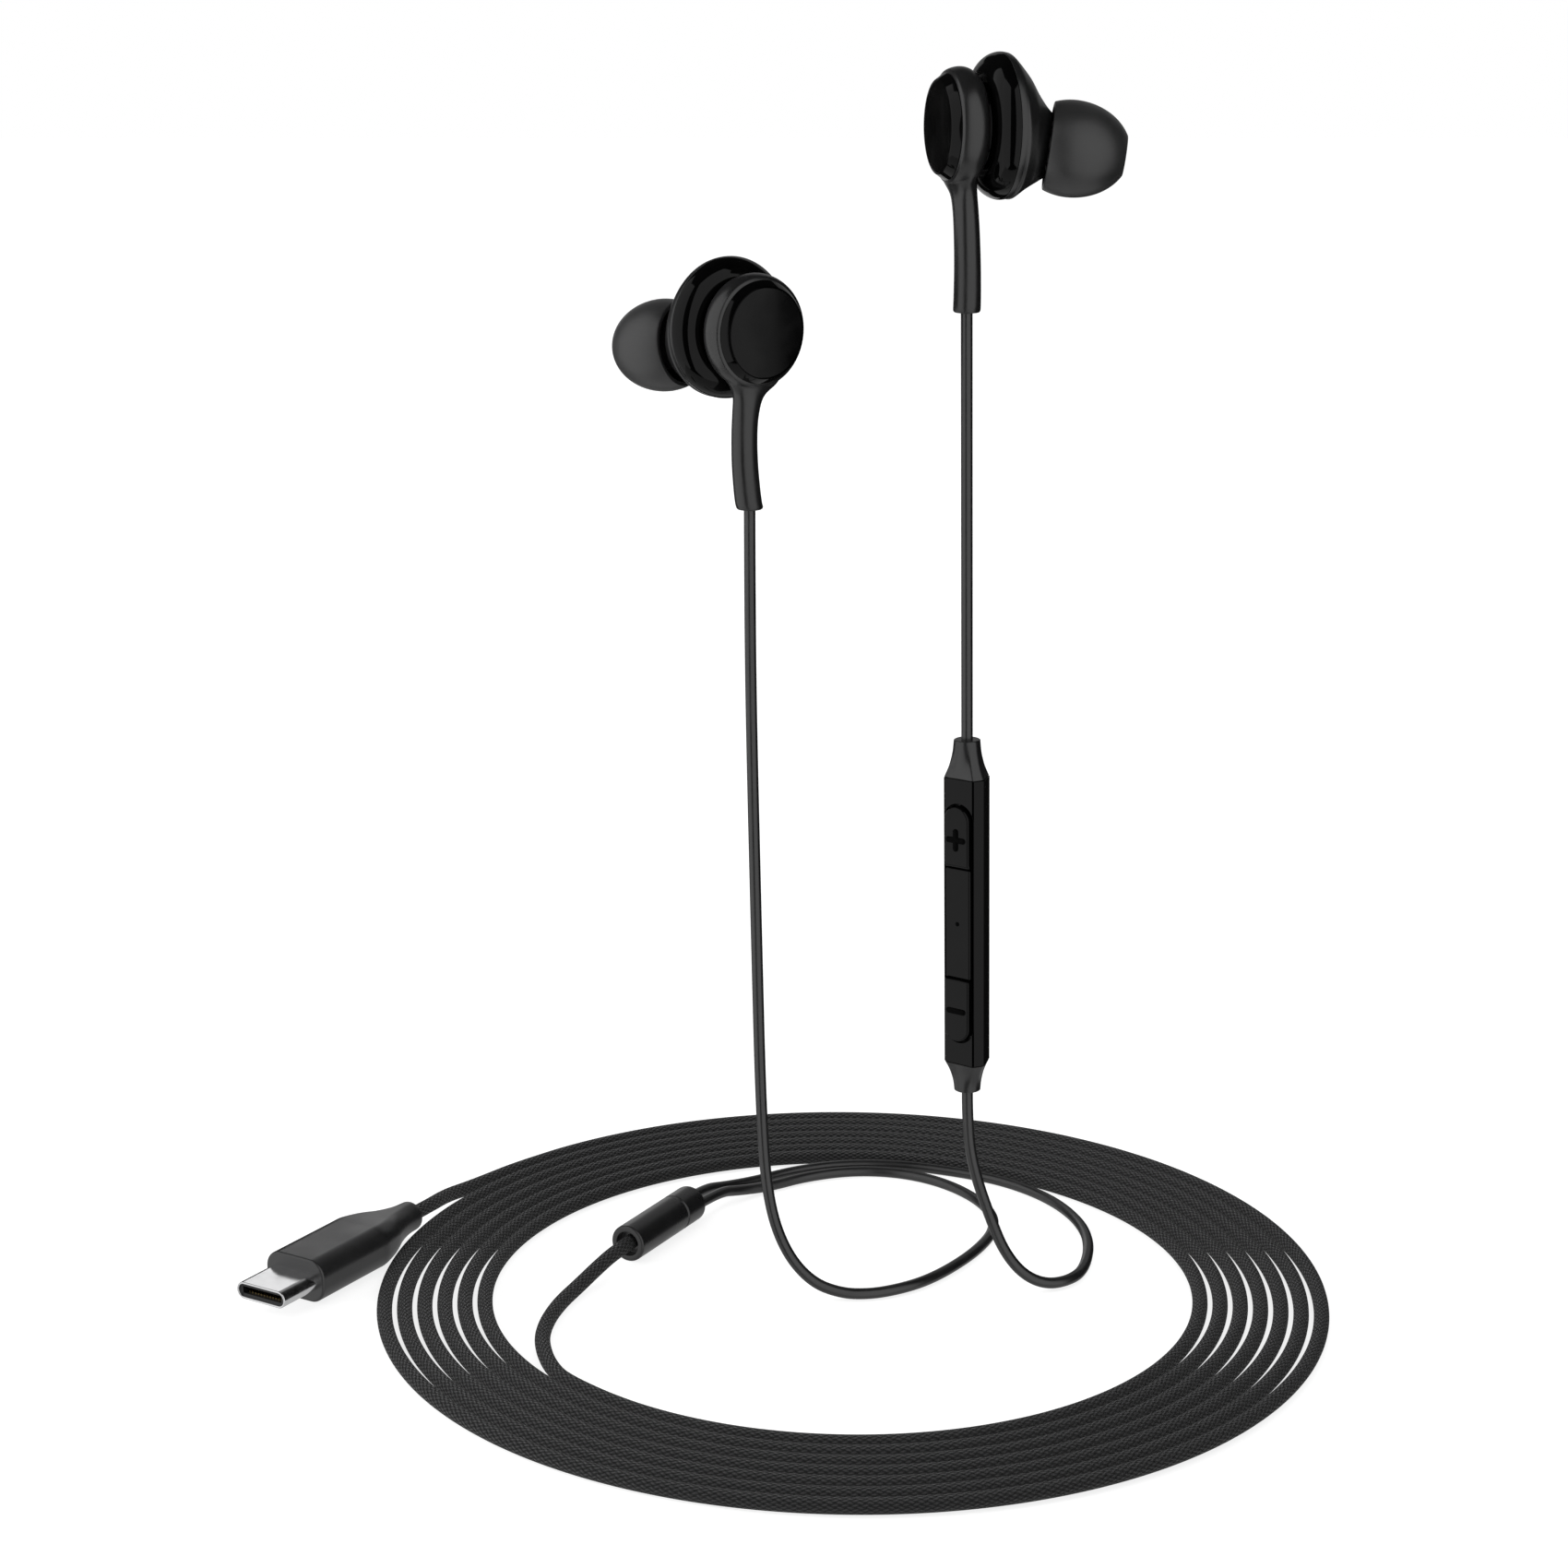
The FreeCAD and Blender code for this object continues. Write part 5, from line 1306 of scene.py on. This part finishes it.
def splitter_body():
    half = SPLITTER_EDGE * (1 - math.sqrt(0.5))
    points = profile((0, RECESS_DEPTH), [
        [(RECESS_R, RECESS_DEPTH)], [(RECESS_R, 0)], [(SPLITTER_R - SPLITTER_EDGE, 0)],
        [(SPLITTER_R - half, half), (SPLITTER_R, SPLITTER_EDGE)],
        [(SPLITTER_R, SPLITTER_LENGTH - SLIDER_GROOVE)],
        [(SPLITTER_R - SLIDER_GROOVE, SPLITTER_LENGTH)], [(0, SPLITTER_LENGTH)]], 8)
    return lathe(round_corners(points, SPLITTER_ROUND, closed=False), closed=False)


def cord_slider():
    """Slider whose bores widen to its far end, where the cords bend away at the end of its travel."""
    end = SPLITTER_LENGTH + SLIDER_LENGTH
    half = SLIDER_EDGE * (1 - math.sqrt(0.5))
    points = profile((0, SPLITTER_LENGTH), [
        [(SPLITTER_R - SLIDER_GROOVE, SPLITTER_LENGTH)], [(SPLITTER_R, SPLITTER_LENGTH + SLIDER_GROOVE)],
        [(SPLITTER_R, end - SLIDER_EDGE)],
        [(SPLITTER_R - half, end - half), (SPLITTER_R - SLIDER_EDGE, end)], [(0, end)]], 10)
    obj = mesh_object(lathe(round_corners(points, SLIDER_ROUND, closed=False), closed=False))
    near, wide = THIN_D / 2 + SLIDER_FIT, THIN_D / 2 + SLIDER_FIT + SLIDER_FLARE
    for side in (-1, 1):
        bore = lathe([(0, SPLITTER_LENGTH - PAST), (near, SPLITTER_LENGTH - PAST), (near, SPLITTER_LENGTH),
                      (wide, end), (wide, end + PAST), (0, end + PAST)], closed=False, segments=32)
        bore.transform(Matrix.Translation(V(side * THIN_SPACING / 2, 0, 0)))
        cut(obj, bore)
    return settle(obj)


finish_mesh("splitter_skin", splitter_body(), SPLITTER_PLACE, "matte_black", "root", ["splitter_body"])
finish_mesh("slider_skin", cord_slider(), SPLITTER_PLACE, "matte_black", "slider", ["cord_slider"])


# Plug, along Z from the mouth of its steel shell, with +Y up

PLUG_SHELL_HALF = 4.125
PLUG_SHELL_HEIGHT = 2.4
PLUG_SHELL_WALL = 0.3
PLUG_SHELL_IN = 5.0
PLUG_LIP = 0.15
LIP_STEPS = 8
GRIP_HALF = 4.95
GRIP_CORNER = 2.4
GRIP_EDGE = 0.35
GRIP_END_R = 2.1
GRIP_END_EDGE = 0.6
GRIP_SHOULDER = PLUG_SHELL_OUT + GRIP_STRAIGHT
GRIP_SHAPE = [(0.0, 0.0), (0.12, 0.02), (0.34, 0.28), (0.56, 0.68), (0.78, 0.93), (1.0, 1.0)]
GRIP_STEPS = 44
GRIP_EDGE_STEPS = 5


def rounded_ring(half_x, half_y, corner, z, steps=12):
    """Points round a rounded rectangle, the same number for any size."""
    radius = min(corner, half_x - 0.01, half_y - 0.01)
    ring = []
    for cx, cy, start in ((1, 1, 0), (-1, 1, 90), (-1, -1, 180), (1, -1, 270)):
        for i in range(steps + 1):
            angle = math.radians(start + 90 * i / steps)
            ring.append(V(cx * (half_x - radius) + radius * math.cos(angle),
                          cy * (half_y - radius) + radius * math.sin(angle), z))
    return ring


def plug_grip():
    rings = []
    for angle in quarter(GRIP_EDGE_STEPS):
        inset = GRIP_EDGE * (1 - math.sin(angle))
        rings.append(rounded_ring(GRIP_HALF - inset, GRIP_HALF_HEIGHT - inset, GRIP_CORNER - inset,
                                  PLUG_SHELL_OUT + GRIP_EDGE * (1 - math.cos(angle))))
    rings.append(rounded_ring(GRIP_HALF, GRIP_HALF_HEIGHT, GRIP_CORNER, (PLUG_SHELL_OUT + GRIP_SHOULDER) / 2))
    for i in range(GRIP_STEPS):
        share, blend = smooth_through(GRIP_SHAPE, i / GRIP_STEPS)
        z = GRIP_SHOULDER + GRIP_TAPER * share
        if z > GRIP_END - GRIP_END_EDGE:
            break
        sizes = [size + (GRIP_END_R - size) * blend for size in (GRIP_HALF, GRIP_HALF_HEIGHT, GRIP_CORNER)]
        rings.append(rounded_ring(*sizes, z))
    for angle in quarter(GRIP_EDGE_STEPS):
        radius = GRIP_END_R - GRIP_END_EDGE * (1 - math.cos(angle))
        rings.append(rounded_ring(radius, radius, radius, GRIP_END - GRIP_END_EDGE * (1 - math.sin(angle))))
    return loft(rings)


def plug_shell():
    """Seamless steel tube with a rounded lip."""
    half, height = PLUG_SHELL_HALF, PLUG_SHELL_HEIGHT / 2
    back = PLUG_SHELL_OUT + PLUG_SHELL_IN
    rows = [(0, back)]
    for i in range(LIP_STEPS + 1):
        angle = math.pi * i / LIP_STEPS
        rows.append((PLUG_SHELL_WALL / 2 * (1 - math.cos(angle)), PLUG_LIP * (1 - math.sin(angle))))
    rows.append((PLUG_SHELL_WALL, back))
    return loft([rounded_ring(half - inset, height - inset, height - inset, z) for inset, z in rows], closed=True)


finish_mesh("plug_grip_skin", plug_grip(), PLUG_PLACE, "grip_black", "root", ["plug_grip"])
finish_mesh("plug_shell_skin", plug_shell(), PLUG_PLACE, "plug_steel", "root", ["plug_shell"])


# Studio: a pale floor, soft lamps, and cards that only reflections see

FLOOR_SIZE = 3.0
FLOOR_TONE = 0.3
FLOOR_GLOW = 0.8
FLOOR_GLOW_REACH = (0.25, 0.9)
WORLD_LIGHT = 0.18
PANEL_LIGHT = 0.8
SIDE_PANEL_LIGHT = 0.7
BACK_CARD_LIGHT = 0.95
RIM_CARD_LIGHT = 0.25
LOW_CARD_LIGHT = 0.6
FLOOR_CARD_LIGHT = 0.45
DARK_LIGHT = 0.004
TENT_BACK_LIGHT = 0.009
TENT_FADE = (0.2, 1.0)
TENT_RADIUS = 2.2
# Side panels stand on a circle of the floor plan, and each runs from one direction to another
PLAN_X = -40
PANEL_AWAY = 620
PANEL_HEIGHTS = (-900, 1000)
PANELS = [
    ("panel_far_left", 150, 188, SIDE_PANEL_LIGHT),
    ("panel_left", 188, 238, PANEL_LIGHT),
    ("panel_right", -14.07, -94, PANEL_LIGHT),
]
# Cards behind: their ends in X, their distance, their lower and upper edge, and their light
CARD_AWAY = 300
CARDS = [
    ("card_back_left", -187, -85, -60, 30, BACK_CARD_LIGHT),
    ("card_behind", -85, 200, -60, 190, RIM_CARD_LIGHT),
    ("card_high_left", -175, -85, 30, 110, RIM_CARD_LIGHT),
    ("card_low_left", -150, -20, -200, -60, LOW_CARD_LIGHT),
]
CARD_BELOW = [(-190, -90), (110, -90), (110, 170), (-190, 170)]
CARD_BELOW_DROP = 60
# Lamps by their direction in degrees, their size in metres and their power
LAMP_AIM = V(-0.04, 0, -0.07)
LAMP_AWAY = 0.9
LAMPS = [
    ("lamp_right", -52, 22, (0.6, 1.0), 3.0),
    ("lamp_left", 180, 16, (0.6, 1.0), 16.0),
    ("lamp_top", 80, 75, (0.8, 0.8), 3.0),
    ("lamp_back", 50, 30, (0.8, 0.8), 4.0),
]


def background_rays(owner):
    """1 for the rays that see the background as it is: camera, glossy and transmission rays."""
    path = add_node(owner, "ShaderNodeLightPath").outputs
    seen = math_node(owner, "MAXIMUM", path["Is Camera Ray"], path["Is Glossy Ray"])
    return math_node(owner, "MAXIMUM", seen, path["Is Transmission Ray"])


def make_floor():
    size, z = FLOOR_SIZE, SURFACE_Z * MM
    mesh = bpy.data.meshes.new("floor")
    mesh.from_pydata([(-size, -size, z), (size, -size, z), (size, size, z), (-size, size, z)], [], [(0, 1, 2, 3)])
    material, shader = new_material("floor_white", (FLOOR_TONE, FLOOR_TONE, FLOOR_TONE, 1), 1.0, 0.0)
    place = add_node(material, "ShaderNodeNewGeometry")
    away = add_node(material, "ShaderNodeVectorMath", operation="LENGTH")
    join(material, place.outputs["Position"], away.inputs["Vector"])
    level = ranged(material, away.outputs["Value"], FLOOR_GLOW, 1, *FLOOR_GLOW_REACH)
    glow = math_node(material, "MULTIPLY", background_rays(material), level)
    shader.inputs["Emission Color"].default_value = (1, 1, 1, 1)
    join(material, glow, shader.inputs["Emission Strength"])
    mesh.materials.append(material)
    floor = add_object("floor", mesh)
    floor.visible_glossy = False


def make_world():
    world = bpy.data.worlds.new("studio")
    bpy.context.scene.world = world
    world.use_nodes = True
    background = world.node_tree.nodes["Background"]
    background.inputs["Color"].default_value = (1, 1, 1, 1)
    join(world, ranged(world, background_rays(world), WORLD_LIGHT, 1, 0, 1), background.inputs["Strength"])


def reflection_only(obj):
    """Lets only reflections see a stage piece."""
    obj.visible_camera = False
    obj.visible_diffuse = False
    obj.visible_transmission = False
    obj.visible_shadow = False
    obj.visible_volume_scatter = False


def card(name, corners, light):
    """Flat card of a set brightness, from its corners in metres."""
    mesh = bpy.data.meshes.new(name)
    mesh.from_pydata(corners, [], [tuple(range(len(corners)))])
    material = bpy.data.materials.new(name)
    material.use_nodes = True
    material.node_tree.nodes.clear()
    glow = add_node(material, "ShaderNodeEmission", Strength=light)
    output = add_node(material, "ShaderNodeOutputMaterial")
    join(material, glow.outputs[0], output.inputs["Surface"])
    material.cycles.emission_sampling = "NONE"
    mesh.materials.append(material)
    obj = add_object(name, mesh)
    reflection_only(obj)
    return obj


def wall(name, start, end, low, high, light):
    """Upright card between two points of the floor plan, in millimetres."""
    corners = ((start, low), (end, low), (end, high), (start, high))
    card(name, [(x * MM, y * MM, z * MM) for (x, y), z in corners], light)


def plan_point(azimuth):
    angle = math.radians(azimuth)
    return (PLAN_X + PANEL_AWAY * math.cos(angle), PANEL_AWAY * math.sin(angle))


def make_tent():
    """Tent, dark in front and paler behind, with tall panels at the sides, cards behind and one below."""
    bm = bmesh.new()
    bmesh.ops.create_icosphere(bm, subdivisions=4, radius=TENT_RADIUS)
    mesh = bpy.data.meshes.new("tent")
    bm.to_mesh(mesh)
    bm.free()
    shell = card("tent_dark", [(0, 0, 0), (0, 0, 1), (0, 1, 0)], DARK_LIGHT)
    material = shell.data.materials[0]
    place = add_node(material, "ShaderNodeNewGeometry")
    split = add_node(material, "ShaderNodeSeparateXYZ")
    join(material, place.outputs["Position"], split.inputs["Vector"])
    join(material, ranged(material, split.outputs["Y"], DARK_LIGHT, TENT_BACK_LIGHT, *TENT_FADE),
         material.node_tree.nodes["Emission"].inputs["Strength"])
    mesh.materials.append(material)
    shell.data = mesh
    for name, start, end, light in PANELS:
        wall(name, plan_point(start), plan_point(end), *PANEL_HEIGHTS, light)
    for name, start, end, low, high, light in CARDS:
        wall(name, (start, CARD_AWAY), (end, CARD_AWAY), low, high, light)
    z = SURFACE_Z - CARD_BELOW_DROP
    card("card_below", [(x * MM, y * MM, z * MM) for x, y in CARD_BELOW], FLOOR_CARD_LIGHT)


def add_lamp(name, azimuth, elevation, size, power):
    """Soft lamp aimed at the middle of the earphones, by its direction from there."""
    turn, lift = math.radians(azimuth), math.radians(elevation)
    away = V(math.cos(turn) * math.cos(lift), math.sin(turn) * math.cos(lift), math.sin(lift)) * LAMP_AWAY
    data = bpy.data.lights.new(name, "AREA")
    data.shape = "RECTANGLE"
    data.size, data.size_y = size
    data.energy = power
    lamp = add_object(name, data)
    lamp.location = LAMP_AIM + away
    lamp.rotation_mode = "QUATERNION"
    lamp.rotation_quaternion = (LAMP_AIM - lamp.location).to_track_quat("-Z", "Y")
    lamp.visible_glossy = False


make_floor()
make_world()
make_tent()
for lamp_row in LAMPS:
    add_lamp(*lamp_row)

view = bpy.context.scene.view_settings
view.view_transform = "Standard"
